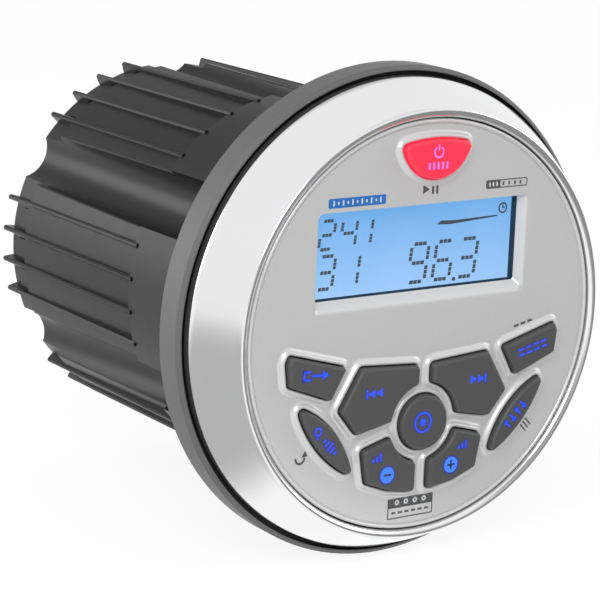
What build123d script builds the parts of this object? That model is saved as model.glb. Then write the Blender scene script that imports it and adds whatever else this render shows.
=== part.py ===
from build123d import *
import math
import os

# Marine stereo for a round hole in a dashboard.
# Millimetres. The axis of the round body is Y, +Z is up and the face looks along -Y.
# The origin is on that axis in the plane of the dashboard, against which the gasket lies.
# A depth is a place on the Y axis: negative in front of the dashboard, positive behind it.

# Body behind the dashboard: the other radii follow its radius, the inner depths its length
body_radius = 43.5
body_length = 90.4
neck_inset = 1.5

# Flange and mounting gasket
flange_overhang = 10.9
flange_depth = 7.0
flange_chamfer = 0.8
flange_rim_width = 1.2
groove_width = 1.2
groove_depth = 1.3
ledge_height = 1.0
gasket_thickness = 1.5
gasket_hole_margin = 1.1
gasket_edge_margin = 1.0

# Chassis behind the face
chassis_wall_step = 0.5
chassis_wall_thickness = 2.5
bulkhead_thickness = 5.0
board_rest_width = 2.0
board_rest_height = 1.5
spigot_inset = 12.5
spigot_wall = 2.0
spigot_length = 6.0
ribbon_slot_width = 18.0
ribbon_slot_height = 8.0

# Trim ring
trim_foot_inset = 0.2
trim_foot_height = 0.8
trim_crest_margin = 2.1
trim_crest_round = 0.95
trim_height = 12.3
trim_wall = 1.55
trim_lip_depth = 2.6

# Faceplate
face_inset = 0.8
face_recess = 1.5
face_thickness = 1.9
face_bead_width = 1.3
face_bead_height = 1.0
rim_width = 1.0
rim_height = 0.6
boss_radius = 2.2

# Display window, as shares of the face radius, and what lies behind it
window_width_share = 1.243
window_bottom_share = 0.1273
window_top_share = 0.6134
window_side_slope = 1.45
window_end_slope = 2.0
lens_margin = 3.6
lens_thickness = 1.0
lens_seal_thickness = 0.3
lens_seal_width = 2.6
display_frame_wall = 0.6
display_frame_margin = 0.4
display_view_margin = 0.8
display_glass_thickness = 2.4
display_fit = 0.1

# Keys
key_gap = 0.35
key_proud = 2.9
key_flange_width = 0.85
key_flange_thickness = 1.1
key_travel = 1.0
key_corner = 0.9
key_edge = 0.5
key_stem_radius = 2.0
power_key_proud = 2.3
power_key_edge = 0.9
dome_radius = 2.3
dome_height = 1.4
mat_thickness = 1.0
mat_margin = 0.6
lamp_length = 1.6
lamp_width = 0.8
lamp_height = 0.7
lamp_window_margin = 0.4
lamp_offset = 4.2

# Key outlines, as (X, Z) shares of the face radius, right-hand side
next_key_shares = [
    (0.042, -0.188), (0.387, -0.164), (0.509, -0.370),
    (0.405, -0.498), (0.12, -0.44), (0.042, -0.44),
]
volume_key_shares = [
    (0.042, -0.56), (0.042, -0.838), (0.197, -0.812),
    (0.336, -0.759), (0.366, -0.590), (0.17, -0.535),
]
mode_key_shares = [(0.484, -0.150), (0.808, -0.060), (0.824, -0.097), (0.810, -0.211), (0.569, -0.303)]
lens_key_tip_shares = [(0.738, -0.329), (0.435, -0.685)]
lens_key_inner_bulge_share = 0.067
lens_key_outer_bulge_share = 0.053
power_key_corner_shares = (0.211, 0.907)
power_key_top_share = 0.930
power_key_bottom_share = 0.745
enter_key_radius_share = 0.1412
enter_moat_radius_share = 0.2037
enter_centre_share = -0.484

# Centres of the domes under the keys, as shares of the face radius, right-hand side
next_dome_shares = (0.29, -0.31)
volume_dome_shares = (0.23, -0.70)
mode_dome_shares = (0.69, -0.18)
lens_dome_shares = (0.58, -0.50)
power_dome_shares = (0, 0.845)

# Key board
board_edge_gap = 0.5
board_thickness = 1.6
key_header_width = 16.0
key_header_height = 6.0
key_header_depth = 5.0

# Face screws, as places on the face in shares of its radius
face_screw_shares = [
    (0.877, 0.139), (0.447, 0.773), (-0.447, 0.773),
    (-0.877, 0.139), (-0.310, -0.847), (0.310, -0.847),
]
face_screw_radius = 1.1
face_screw_head_radius = 2.1
face_screw_head_height = 1.6
face_screw_bite = 4.0
screw_hole_gap = 0.15
head_pocket_gap = 0.3
head_pocket_depth = 2.5

# Housing
collar_length = 5.0
barrel_draft = 0.4
panel_front = 31.0
panel_front_step = 1.5
panel_rear_step = 0.8
rim_step = 1.5
rib_width = 1.2
rib_edge = 0.35
rib_pitch = 10.0
ribs_per_sector = 4
sector_count = 6
sector_angle = 360 / sector_count
cavity_inset = 3.8
front_plate_thickness = 3.0
front_plate_gap = 0.15
flute_radius = 7.0
flute_inset_front = 2.1
flute_outset_rear = 2.5
flute_lip_edge = 0.3
flute_wall = 2.2
recess_length = 8.0
recess_step = 1.2
pad_length = 4.4
pad_width = 4.4
pad_height = 0.5

# Housing seal and screws
seal_inset = 1.6
seal_width = 1.6
seal_depth = 1.2
housing_screw_inset = 4.5
housing_screw_radius = 1.5
housing_screw_head_radius = 2.8
housing_screw_head_height = 2.0
housing_screw_bite = 4.0

# Rear cover
cover_ledge_step = 4.5
cover_ledge_width = 0.7
cover_seal_thickness = 1.0
cover_thickness = 3.0
cover_gap = 0.15
cover_screw_inset = 7.3
cover_screw_radius = 1.5
cover_screw_head_radius = 2.7
cover_screw_head_height = 1.8
cover_screw_bite = 7.0
cover_boss_radius = 3.7
cover_boss_tip_radius = 2.9
cover_boss_length = 14.0

# Mounting inserts in the rear cover, placed by a share of the body radius
insert_share = 0.5287
insert_radius = 3.6
insert_bore_radius = 2.1
insert_bore_depth = 8.0
insert_length = 9.0
insert_boss_wall = 2.0
insert_proud = 0.4

# Cable gland, and aerial socket placed by a share of the body radius
gland_neck_radius = 6.0
gland_hex_radius = 10.0
gland_hex_height = 4.5
gland_cap_radius = 7.6
gland_cap_height = 7.0
gland_cap_round = 2.0
gland_bore_radius = 3.6
gland_nut_height = 3.0
aerial_share = 0.4368
aerial_neck_radius = 4.6
aerial_flange_radius = 6.8
aerial_flange_height = 1.5
aerial_barrel_radius = 5.2
aerial_barrel_length = 9.0
aerial_bore_radius = 3.9
aerial_bore_depth = 7.5
aerial_tail_length = 5.0
aerial_contact_bore = 0.8
aerial_contact_depth = 4.0

# Board tray, in shares of the spigot radius
tray_thickness = 1.2
tray_half_width_share = 0.71
tray_top_share = -0.4516
tray_flange_half_width_share = 0.387
tray_flange_bottom_share = -0.806
tray_screw_shares = [(-0.226, -0.661), (0.226, -0.661)]
tray_screw_radius = 1.25
tray_screw_head_radius = 2.3
tray_screw_head_height = 1.6
tray_screw_bite = 4.0

# Main board and its pillars
main_board_front = 8.0
main_board_rear_gap = 20.4
main_board_width_share = 1.613
pillar_height = 3.0
pillar_radius = 3.0
pillar_screw_radius = 1.2
pillar_screw_head_radius = 2.2
pillar_screw_head_height = 1.5

# Places on the main board, as shares of its width from the middle and of its length from the front
pillar_shares = [(-0.36, 0.129), (-0.36, 0.806), (0.36, 0.129), (0.36, 0.806)]
controller_shares = (0, 0.242)
tuner_shares = (-0.29, 0.452)
wireless_shares = (0.30, 0.355)
capacitor_shares = [(0.11, 0.677), (-0.11, 0.677)]
coil_shares = [(0.36, 0.597), (-0.36, 0.661)]

# Plan sizes on the main board, as shares of its width and length
controller_size_shares = (0.24, 0.194)
tuner_size_shares = (0.34, 0.226)
wireless_size_shares = (0.22, 0.258)
capacitor_radius_share = 0.09
coil_outer_share = 0.088
coil_inner_share = 0.030

# Other sizes of the parts on the main board
header_width = 16.0
header_length = 5.0
header_height = 5.0
ribbon_width = 14.0
ribbon_thickness = 0.5
ribbon_arch = 0.8
ribbon_rise = 1.4
controller_height = 1.4
tuner_height = 5.0
wireless_height = 2.2
capacitor_height = 14.0
coil_height = 3.8
amplifier_width = 20.0
amplifier_thickness = 4.8
amplifier_height = 12.0
amplifier_lead_height = 3.5
amplifier_lead_width = 0.8
amplifier_lead_pitch = 2.0
amplifier_lead_count = 9
sink_width_share = 0.88
sink_base = 3.2
sink_height_share = 0.46
sink_fin_length = 6.5
sink_fin_thickness = 1.4
sink_fin_count = 9

# One overrun for every cut
overrun = 1.0

# Radii worked out from the sizes above
neck_radius = body_radius - neck_inset
flange_radius = body_radius + flange_overhang
groove_outer_radius = flange_radius - flange_rim_width
ledge_radius = groove_outer_radius - groove_width
gasket_inner_radius = body_radius + gasket_hole_margin
chassis_wall_outer = body_radius + chassis_wall_step
chassis_wall_inner = chassis_wall_outer - chassis_wall_thickness
spigot_radius = body_radius - spigot_inset
face_radius = chassis_wall_outer - face_inset
trim_foot_radius = ledge_radius - trim_foot_inset
trim_crest_radius = face_radius + trim_crest_margin
enter_key_radius = enter_key_radius_share * face_radius
key_board_radius = chassis_wall_inner - board_edge_gap
barrel_rear_radius = body_radius - barrel_draft
panel_front_radius = body_radius - panel_front_step
panel_rear_radius = body_radius - panel_rear_step
recess_radius = panel_rear_radius - recess_step
cavity_radius = body_radius - cavity_inset
flute_centre_front = body_radius - flute_inset_front
flute_centre_rear = body_radius + flute_outset_rear
seal_groove_inner = spigot_radius + seal_inset
housing_screw_circle = body_radius - housing_screw_inset
cover_screw_circle = body_radius - cover_screw_inset

# Depths worked out from the sizes above
flange_rear = -gasket_thickness
flange_front = flange_rear - flange_depth
ledge_front = flange_front - ledge_height
bulkhead_front = flange_rear - bulkhead_thickness
board_rear = bulkhead_front - board_rest_height
board_front = board_rear - board_thickness
trim_crest_front = ledge_front - trim_height
face_front = trim_crest_front + face_recess
face_rear = face_front + face_thickness
key_front = face_front - key_proud
power_key_front = face_front - power_key_proud
mat_front = board_front - mat_thickness
dome_front = mat_front - dome_height
key_flange_front = face_rear + key_gap
key_flange_rear = key_flange_front + key_flange_thickness
key_stem_rear = dome_front - key_travel - key_gap
lens_front = face_rear + lens_seal_thickness
lens_rear = lens_front + lens_thickness
display_front = lens_rear + display_frame_wall
display_rear = display_front + display_glass_thickness
rim_rear = body_length - rim_step
cover_ledge_depth = rim_rear - cover_ledge_step
cover_front = cover_ledge_depth + cover_seal_thickness
cover_rear = cover_front + cover_thickness
recess_front = rim_rear - recess_length
main_board_rear = body_length - main_board_rear_gap
main_board_length = main_board_rear - main_board_front

# Widths and heights worked out from the sizes above
window_width = window_width_share * face_radius
window_bottom = window_bottom_share * face_radius
window_top = window_top_share * face_radius
tray_half_width = tray_half_width_share * spigot_radius
tray_top = tray_top_share * spigot_radius
tray_bottom = tray_top - tray_thickness
board_bottom = tray_top + pillar_height
board_top = board_bottom + board_thickness
ribbon_height = board_top + ribbon_rise
main_board_width = main_board_width_share * spigot_radius
sink_width = sink_width_share * main_board_width
sink_height = sink_height_share * main_board_width

# Places of what repeats
rib_first_angle = -rib_pitch * (ribs_per_sector - 1) / 2
sector_starts = [sector_angle * number for number in range(sector_count)]
flute_starts = [start + sector_angle / 2 for start in sector_starts]
insert_places = [(-insert_share * body_radius, 0), (insert_share * body_radius, 0)]
aerial_place = (0, -aerial_share * body_radius)
tray_screw_places = [(x * spigot_radius, z * spigot_radius) for x, z in tray_screw_shares]


# Ways of making a shape about the Y axis

def plate(outline, front, rear):
    """Prism of an outline drawn in X and Z, between two depths."""
    base = Plane(origin=(0, rear, 0), x_dir=(1, 0, 0), z_dir=(0, -1, 0))
    return extrude(base * outline, amount=rear - front)


def turned(points):
    """Solid turned about the Y axis from (radius, depth) points."""
    return revolve(make_face(Polyline(*points, close=True)), Axis.Y)


def spun(shape, angle):
    """The shape turned about the Y axis, from +X towards +Z."""
    return Rot(0, -angle, 0) * shape


def at(outline, place):
    """The outline moved to an (X, Z) place."""
    return Pos(place[0], place[1]) * outline


def on_circle(radius, angle):
    """The (X, Z) place on a circle about the axis."""
    return radius * math.cos(math.radians(angle)), radius * math.sin(math.radians(angle))


def box(low, high):
    """Box between two corners."""
    size = [end - start for start, end in zip(low, high)]
    return Pos(*low) * Box(*size, align=(Align.MIN, Align.MIN, Align.MIN))


def grown(outline, amount):
    """The outline made larger all round."""
    return offset(outline, amount=amount, kind=Kind.ARC)


def screw(place, seat, tip, shank_radius, head_radius, head_height):
    """Pan-head screw along Y: its head lies behind the seat and its tip points to the front."""
    shank = plate(at(Circle(shank_radius), place), tip, seat)
    head = plate(at(Circle(head_radius), place), seat, seat + head_height)
    return shank + head


# Outlines of the keys, drawn in X and Z

def face_places(shares, side):
    return [(side * x * face_radius, z * face_radius) for x, z in shares]


def around_enter(shares, side):
    """A key whose inner corner is hollowed out round the enter key."""
    blank = make_face(Polyline(*face_places(shares, side), close=True))
    moat = at(Circle(enter_moat_radius_share * face_radius), (0, enter_centre_share * face_radius))
    hollowed = blank - moat
    return fillet(hollowed.vertices(), key_corner)


def mode_outline(side):
    blank = make_face(Polyline(*face_places(mode_key_shares, side), close=True))
    return fillet(blank.vertices(), key_corner / 2)


def lens_outline(side):
    upper, lower = [Vector(x, z) for x, z in face_places(lens_key_tip_shares, side)]
    middle = (upper + lower) / 2
    outward = (upper - lower).normalized().rotate(Axis.Z, -90 * side)
    inner = middle - outward * lens_key_inner_bulge_share * face_radius
    outer = middle + outward * lens_key_outer_bulge_share * face_radius
    blank = make_face([ThreePointArc(upper, inner, lower), ThreePointArc(lower, outer, upper)])
    return fillet(blank.vertices(), key_corner)


def power_outline():
    left, right = [face_places([power_key_corner_shares], side)[0] for side in (-1, 1)]
    top = (0, power_key_top_share * face_radius)
    bottom = (0, power_key_bottom_share * face_radius)
    blank = make_face([ThreePointArc(left, top, right), ThreePointArc(right, bottom, left)])
    return fillet(blank.vertices(), key_corner)


def enter_outline():
    return at(Circle(enter_key_radius), (0, enter_centre_share * face_radius))


def mirrored(shares):
    return -shares[0], shares[1]


# Each key's outline and the centre of the dome under it
keys = {
    "power_button": (power_outline(), power_dome_shares),
    "source_button": (mode_outline(-1), mirrored(mode_dome_shares)),
    "mode_button": (mode_outline(1), mode_dome_shares),
    "previous_button": (around_enter(next_key_shares, -1), mirrored(next_dome_shares)),
    "next_button": (around_enter(next_key_shares, 1), next_dome_shares),
    "band_button": (lens_outline(-1), mirrored(lens_dome_shares)),
    "sound_button": (lens_outline(1), lens_dome_shares),
    "enter_button": (enter_outline(), (0, enter_centre_share)),
    "volume_down_button": (around_enter(volume_key_shares, -1), mirrored(volume_dome_shares)),
    "volume_up_button": (around_enter(volume_key_shares, 1), volume_dome_shares),
}
dome_places = [face_places([shares], 1)[0] for outline, shares in keys.values()]
face_screw_places = face_places(face_screw_shares, 1)


# Front of the stereo

def trim_ring():
    """Plated cone with a rounded crest and a short lip turned in towards the faceplate."""
    foot_rear = ledge_front
    foot_front = foot_rear - trim_foot_height
    crest_outer = (trim_crest_radius + trim_crest_round, trim_crest_front + trim_crest_round)
    crest_inner = (trim_crest_radius - trim_crest_round, trim_crest_front + trim_crest_round)
    crest_top = (trim_crest_radius, trim_crest_front)
    lip_rear = trim_crest_front + trim_lip_depth
    slope = (trim_foot_radius - crest_outer[0]) / (foot_front - crest_outer[1])
    under_crest = crest_outer[0] + (lip_rear - crest_outer[1]) * slope - trim_wall
    walls = Polyline(
        crest_inner,
        (crest_inner[0], lip_rear),
        (under_crest, lip_rear),
        (trim_foot_radius - trim_wall, foot_front),
        (trim_foot_radius - trim_wall, foot_rear),
        (trim_foot_radius, foot_rear),
        (trim_foot_radius, foot_front),
        crest_outer,
    )
    profile = make_face([walls, ThreePointArc(crest_outer, crest_top, crest_inner)])
    return revolve(profile, Axis.Y)


def front_chassis():
    """Flange, wall round the face, bulkhead and the spigot that enters the housing."""
    rest_inner = chassis_wall_inner - board_rest_width
    spigot_rear = flange_rear + spigot_length
    spigot_inner = spigot_radius - spigot_wall
    body = turned([
        (0, bulkhead_front),
        (rest_inner, bulkhead_front),
        (rest_inner, board_rear),
        (chassis_wall_inner, board_rear),
        (chassis_wall_inner, face_rear),
        (chassis_wall_outer, face_rear),
        (chassis_wall_outer, ledge_front),
        (ledge_radius, ledge_front),
        (ledge_radius, flange_front + groove_depth),
        (groove_outer_radius, flange_front + groove_depth),
        (groove_outer_radius, flange_front),
        (flange_radius - flange_chamfer, flange_front),
        (flange_radius, flange_front + flange_chamfer),
        (flange_radius, flange_rear),
        (spigot_radius, flange_rear),
        (spigot_radius, spigot_rear),
        (spigot_inner, spigot_rear),
        (spigot_inner, flange_rear),
        (0, flange_rear),
    ])
    slot = at(Rectangle(ribbon_slot_width, ribbon_slot_height), (0, ribbon_height))
    body -= plate(slot, bulkhead_front - overrun, flange_rear + overrun)
    groove = Circle(seal_groove_inner + seal_width) - Circle(seal_groove_inner)
    body -= plate(groove, flange_rear - seal_depth, flange_rear + overrun)
    for place in face_screw_places:
        hole = at(Circle(face_screw_radius + screw_hole_gap), place)
        body -= plate(hole, board_rear - overrun, flange_rear)
        pocket = at(Circle(face_screw_head_radius + head_pocket_gap), place)
        body -= plate(pocket, flange_rear - head_pocket_depth, flange_rear + overrun)
    for angle in flute_starts:
        hole = at(Circle(housing_screw_radius), on_circle(housing_screw_circle, angle))
        body -= plate(hole, flange_rear - housing_screw_bite, flange_rear + overrun)
    for place in tray_screw_places:
        hole = at(Circle(tray_screw_radius), place)
        body -= plate(hole, flange_rear - tray_screw_bite, flange_rear + overrun)
    return body


def window_outline(side_inset, end_inset):
    width = window_width - 2 * side_inset
    height = window_top - window_bottom - 2 * end_inset
    return at(Rectangle(width, height), (0, (window_top + window_bottom) / 2))


def window_cut():
    """Opening whose four walls slope in towards the display."""
    front = Plane(origin=(0, face_front, 0), x_dir=(1, 0, 0), z_dir=(0, -1, 0))
    rear = front.offset(-face_thickness)
    sloped = loft([front * window_outline(0, 0), rear * window_outline(window_side_slope, window_end_slope)])
    behind = plate(window_outline(window_side_slope, window_end_slope), face_rear, face_rear + overrun)
    before = plate(window_outline(0, 0), face_front - overrun, face_front)
    return sloped + behind + before


def faceplate():
    """Round plate with a rolled edge, a raised rim round each key and bosses for the face screws."""
    bead_outer = (face_radius, face_front - face_bead_height / 2)
    bead_crest = (face_radius - face_bead_width / 2, face_front - face_bead_height)
    bead_inner = (face_radius - face_bead_width, face_front)
    walls = Polyline(bead_inner, (0, face_front), (0, face_rear), (face_radius, face_rear), bead_outer)
    bead = ThreePointArc(bead_outer, bead_crest, bead_inner)
    body = revolve(make_face([walls, bead]), Axis.Y)
    for outline, dome in keys.values():
        body += plate(grown(outline, key_gap + rim_width), face_front - rim_height, face_front)
    for outline, dome in keys.values():
        body -= plate(grown(outline, key_gap), face_front - rim_height - overrun, face_rear + overrun)
    body -= window_cut()
    for place in face_screw_places:
        body += plate(at(Circle(boss_radius), place), face_rear, board_front)
        hole = at(Circle(face_screw_radius), place)
        body -= plate(hole, board_front - face_screw_bite, board_front + overrun)
    return body


def lens_outline_at(margin):
    return window_outline(window_side_slope - margin, window_end_slope - margin)


def display_lens():
    return plate(lens_outline_at(lens_margin), lens_front, lens_rear)


def lens_seal():
    ring = lens_outline_at(lens_margin) - lens_outline_at(lens_margin - lens_seal_width)
    return plate(ring, face_rear, lens_front)


def display_frame():
    """Folded metal frame that holds the glass and its backlight down on the key board."""
    outer = lens_outline_at(lens_margin + display_frame_margin)
    inner = lens_outline_at(lens_margin + display_frame_margin - display_frame_wall)
    shell = plate(outer, lens_rear, board_front) - plate(inner, display_front, board_front + overrun)
    return shell - plate(lens_outline_at(display_view_margin), lens_rear - overrun, display_front + overrun)


def display_block(front, rear):
    inner = lens_outline_at(lens_margin + display_frame_margin - display_frame_wall - display_fit)
    return plate(inner, front, rear)


def button(outline, dome, front, edge):
    """Cap with a rounded front edge, a flange that keeps it in and a stem over its dome."""
    cap = plate(outline, front, key_flange_rear)
    cap = fillet(cap.faces().sort_by(Axis.Y)[0].edges(), edge)
    cap += plate(grown(outline, key_flange_width), key_flange_front, key_flange_rear)
    stem = at(Circle(key_stem_radius), dome)
    return cap + plate(stem, key_flange_rear, key_stem_rear)


def key_mat():
    """Silicone sheet round the display with a dome under each key and a window for each lamp."""
    sheet = Circle(key_board_radius - mat_margin)
    sheet -= grown(lens_outline_at(lens_margin + display_frame_margin), mat_margin)
    for place in face_screw_places:
        sheet -= at(Circle(boss_radius + mat_margin), place)
    lamp_window = Rectangle(lamp_length + lamp_window_margin, lamp_width + lamp_window_margin)
    for place in lamp_places():
        sheet -= at(lamp_window, place)
    mat = plate(sheet, mat_front, board_front)
    for place in dome_places:
        mat += plate(at(Circle(dome_radius), place), dome_front, mat_front)
    return mat


def lamp_places():
    return [(x - math.copysign(lamp_offset, x), z) for x, z in dome_places]


def key_board():
    board = plate(Circle(key_board_radius), board_front, board_rear)
    for place in face_screw_places:
        hole = at(Circle(face_screw_radius + screw_hole_gap), place)
        board -= plate(hole, board_front - overrun, board_rear + overrun)
    return board


def key_lamps():
    lamp = Rectangle(lamp_length, lamp_width)
    return [plate(at(lamp, place), board_front - lamp_height, board_front) for place in lamp_places()]


def key_header():
    outline = at(Rectangle(key_header_width, key_header_height), (0, ribbon_height))
    return plate(outline, board_rear, board_rear + key_header_depth)


def face_screws():
    seat = flange_rear - head_pocket_depth
    tip = board_front - face_screw_bite
    return [
        screw(place, seat, tip, face_screw_radius, face_screw_head_radius, face_screw_head_height)
        for place in face_screw_places
    ]


def mounting_gasket():
    ring = Circle(flange_radius - gasket_edge_margin) - Circle(gasket_inner_radius)
    return plate(ring, flange_rear, 0)


def housing_seal():
    ring = Circle(seal_groove_inner + seal_width) - Circle(seal_groove_inner)
    return plate(ring, flange_rear - seal_depth, flange_rear)


# Housing

def flute_centre(depth):
    """Distance of the flute's centre line from the axis at a depth."""
    lean = (flute_centre_rear - flute_centre_front) / body_length
    return flute_centre_front + lean * depth


def flute_section(radius):
    """Round floor and straight sides that run out past the body."""
    return Circle(radius) + at(Rectangle(radius, 2 * radius), (radius / 2, 0))


def flute(front, rear, wall):
    """Channel that leans out towards the rear, so that it is deepest at the flange."""
    radius = flute_radius + wall
    lean = Vector(flute_centre_rear - flute_centre_front, body_length, 0)
    start = (flute_centre(front - overrun), front - overrun, 0)
    across = Plane(origin=start, x_dir=(lean.Y, -lean.X, 0), z_dir=lean)
    channel = extrude(across * flute_section(radius), amount=rear - front + 2 * overrun)
    return channel & box((0, front, -radius), (2 * body_radius, rear + overrun, radius))


def fluted_outline(depth, growth):
    """Inner outline of the housing at a depth, made larger by a growth."""
    outline = Circle(cavity_radius + growth)
    for angle in flute_starts:
        section = at(flute_section(flute_radius + flute_wall - growth), (flute_centre(depth), 0))
        outline -= Rot(0, 0, angle) * section
    return outline


def rib(angle):
    """Rib along the body, bevelled at its crest."""
    low = (panel_front_radius - flute_wall / 2, panel_front - overrun, -rib_width / 2)
    bar = box(low, (body_radius, body_length, rib_width / 2))
    crest = bar.edges().filter_by(Axis.Y).sort_by(Axis.X)[-2:]
    return spun(chamfer(crest, rib_edge), angle)


def housing():
    """Ribbed and fluted moulding, open at the rear and closed at the front by a plate with a bore."""
    body = turned([
        (0, flange_rear),
        (neck_radius, flange_rear),
        (neck_radius, 0),
        (body_radius, 0),
        (body_radius, collar_length),
        (barrel_rear_radius, panel_front),
        (panel_front_radius, panel_front),
        (panel_rear_radius, recess_front),
        (recess_radius, recess_front),
        (recess_radius, rim_rear),
        (0, rim_rear),
    ])
    flutes = [spun(flute(collar_length, body_length + overrun, 0), angle) for angle in flute_starts]
    body -= flutes
    body = chamfer(body.edges().filter_by(is_flute_lip), flute_lip_edge)
    rib_angles = [rib_first_angle + rib_pitch * number for number in range(ribs_per_sector)]
    body += [rib(start + angle) for start in sector_starts for angle in rib_angles]
    body += pads()
    cavity_front = flange_rear + front_plate_thickness
    cavity = plate(Circle(cavity_radius), cavity_front, cover_ledge_depth)
    inner_wall = flute(cavity_front - overrun, cover_ledge_depth + overrun, flute_wall)
    cavity -= [spun(inner_wall, angle) for angle in flute_starts]
    mouth = fluted_outline(cover_ledge_depth, cover_ledge_width)
    cavity += plate(mouth, cover_ledge_depth, rim_rear + overrun)
    for angle in sector_starts:
        place = on_circle(cover_screw_circle, angle)
        boss = at(Circle(cover_boss_radius), place)
        cavity -= plate(boss, cover_ledge_depth - cover_boss_length, cover_ledge_depth)
        cavity -= plate(at(Circle(cover_boss_tip_radius), place), cover_ledge_depth, cover_front)
        hole = at(Circle(cover_screw_radius), place)
        cavity += plate(hole, cover_front - cover_screw_bite, cover_front)
    body -= cavity
    body -= plate(Circle(spigot_radius + front_plate_gap), flange_rear - overrun, cavity_front + overrun)
    for angle in flute_starts:
        hole = at(Circle(housing_screw_radius + screw_hole_gap), on_circle(housing_screw_circle, angle))
        body -= plate(hole, flange_rear - overrun, collar_length + overrun)
    return body


def is_flute_lip(edge):
    """A long edge on the body's outer surface, where a flute breaks through it."""
    middle = edge.center()
    radius = math.hypot(middle.X, middle.Z)
    ends = edge.vertices()
    span = abs(ends[0].Y - ends[-1].Y)
    return radius > panel_front_radius - overrun and span > panel_front - collar_length - overrun


def pads():
    """Low pad between each pair of ribs, in the recessed band at the rear."""
    low = (recess_radius - pad_height, recess_front - overrun, -pad_width / 2)
    pad = box(low, (recess_radius + pad_height, recess_front + pad_length, pad_width / 2))
    gaps = [rib_first_angle + rib_pitch * (number + 1 / 2) for number in range(ribs_per_sector - 1)]
    return [spun(pad, start + angle) for start in sector_starts for angle in gaps]


def housing_screws():
    tip = flange_rear - housing_screw_bite
    return [
        screw(on_circle(housing_screw_circle, angle), collar_length, tip,
              housing_screw_radius, housing_screw_head_radius, housing_screw_head_height)
        for angle in flute_starts
    ]


# Rear cover and what it carries

def rear_cover():
    cover = plate(fluted_outline(cover_ledge_depth, cover_ledge_width - cover_gap), cover_front, cover_rear)
    for place in insert_places:
        boss = at(Circle(insert_radius + insert_boss_wall), place)
        cover += plate(boss, cover_rear - insert_length, cover_front)
        hole = at(Circle(insert_radius), place)
        cover -= plate(hole, cover_rear - insert_length - overrun, cover_rear + overrun)
    for angle in sector_starts:
        hole = at(Circle(cover_screw_radius + screw_hole_gap), on_circle(cover_screw_circle, angle))
        cover -= plate(hole, cover_front - overrun, cover_rear + overrun)
    cover -= plate(Circle(gland_neck_radius), cover_front - overrun, cover_rear + overrun)
    aerial_hole = at(Circle(aerial_neck_radius), aerial_place)
    return cover - plate(aerial_hole, cover_front - overrun, cover_rear + overrun)


def cover_seal():
    """Rubber ring on the ledge, with the housing's fluted outline."""
    outer = fluted_outline(cover_ledge_depth, cover_ledge_width - cover_gap)
    inner = fluted_outline(cover_ledge_depth, cover_gap)
    return plate(outer - inner, cover_ledge_depth, cover_front)


def cover_screws():
    tip = cover_front - cover_screw_bite
    return [
        screw(on_circle(cover_screw_circle, angle), cover_rear, tip,
              cover_screw_radius, cover_screw_head_radius, cover_screw_head_height)
        for angle in sector_starts
    ]


def mounting_inserts():
    rear = cover_rear + insert_proud
    front = cover_rear - insert_length
    bushes = []
    for place in insert_places:
        bush = plate(at(Circle(insert_radius), place), front, rear)
        bore = at(Circle(insert_bore_radius), place)
        bushes.append(bush - plate(bore, rear - insert_bore_depth, rear + overrun))
    return bushes


def cable_gland():
    """Hexagon and domed cap behind the cover, and a neck through it, with one bore."""
    hex_rear = cover_rear + gland_hex_height
    cap_rear = hex_rear + gland_cap_height
    neck = plate(Circle(gland_neck_radius), cover_front - gland_nut_height, cover_rear)
    hexagon = plate(RegularPolygon(gland_hex_radius, 6), cover_rear, hex_rear)
    cap = plate(Circle(gland_cap_radius), hex_rear, cap_rear)
    cap = fillet(cap.faces().sort_by(Axis.Y)[-1].edges(), gland_cap_round)
    bore = plate(Circle(gland_bore_radius), cover_front - gland_nut_height - overrun, cap_rear + overrun)
    return neck + hexagon + cap - bore


def gland_nut():
    ring = RegularPolygon(gland_hex_radius, 6) - Circle(gland_neck_radius)
    return plate(ring, cover_front - gland_nut_height, cover_front)


def aerial_socket():
    """Round coaxial socket with a flange on the cover and a tail inside."""
    place = aerial_place
    flange_end = cover_rear + aerial_flange_height
    barrel_end = flange_end + aerial_barrel_length
    bore_start = barrel_end - aerial_bore_depth
    socket = plate(at(Circle(aerial_neck_radius), place), cover_front - aerial_tail_length, cover_rear)
    socket += plate(at(Circle(aerial_flange_radius), place), cover_rear, flange_end)
    socket += plate(at(Circle(aerial_barrel_radius), place), flange_end, barrel_end)
    socket -= plate(at(Circle(aerial_bore_radius), place), bore_start, barrel_end + overrun)
    contact_hole = at(Circle(aerial_contact_bore), place)
    return socket - plate(contact_hole, bore_start - aerial_contact_depth, barrel_end)


# Boards and what they carry

def board_tray():
    """Folded plate: a shelf under the main board and a flange screwed to the bulkhead."""
    shelf = box((-tray_half_width, flange_rear, tray_bottom), (tray_half_width, main_board_rear, tray_top))
    half_width = tray_flange_half_width_share * spigot_radius
    flange = box(
        (-half_width, flange_rear, tray_flange_bottom_share * spigot_radius),
        (half_width, flange_rear + tray_thickness, tray_bottom),
    )
    tray = shelf + flange
    for place in tray_screw_places:
        hole = at(Circle(tray_screw_radius + screw_hole_gap), place)
        tray -= plate(hole, flange_rear - overrun, flange_rear + tray_thickness + overrun)
    return tray


def tray_screws():
    seat = flange_rear + tray_thickness
    tip = flange_rear - tray_screw_bite
    return [
        screw(place, seat, tip, tray_screw_radius, tray_screw_head_radius, tray_screw_head_height)
        for place in tray_screw_places
    ]


def board_place(shares):
    """The (X, depth) place on the main board, from shares of its width and length."""
    return shares[0] * main_board_width, main_board_front + shares[1] * main_board_length


def upright(outline, place, bottom, top):
    """Prism of an outline that stands up along Z at an (X, depth) place."""
    return extrude(Pos(place[0], place[1], bottom) * outline, amount=top - bottom)


def board_pillars():
    section = RegularPolygon(pillar_radius, 6) - Circle(pillar_screw_radius)
    return [upright(section, board_place(shares), tray_top, board_bottom) for shares in pillar_shares]


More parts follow.
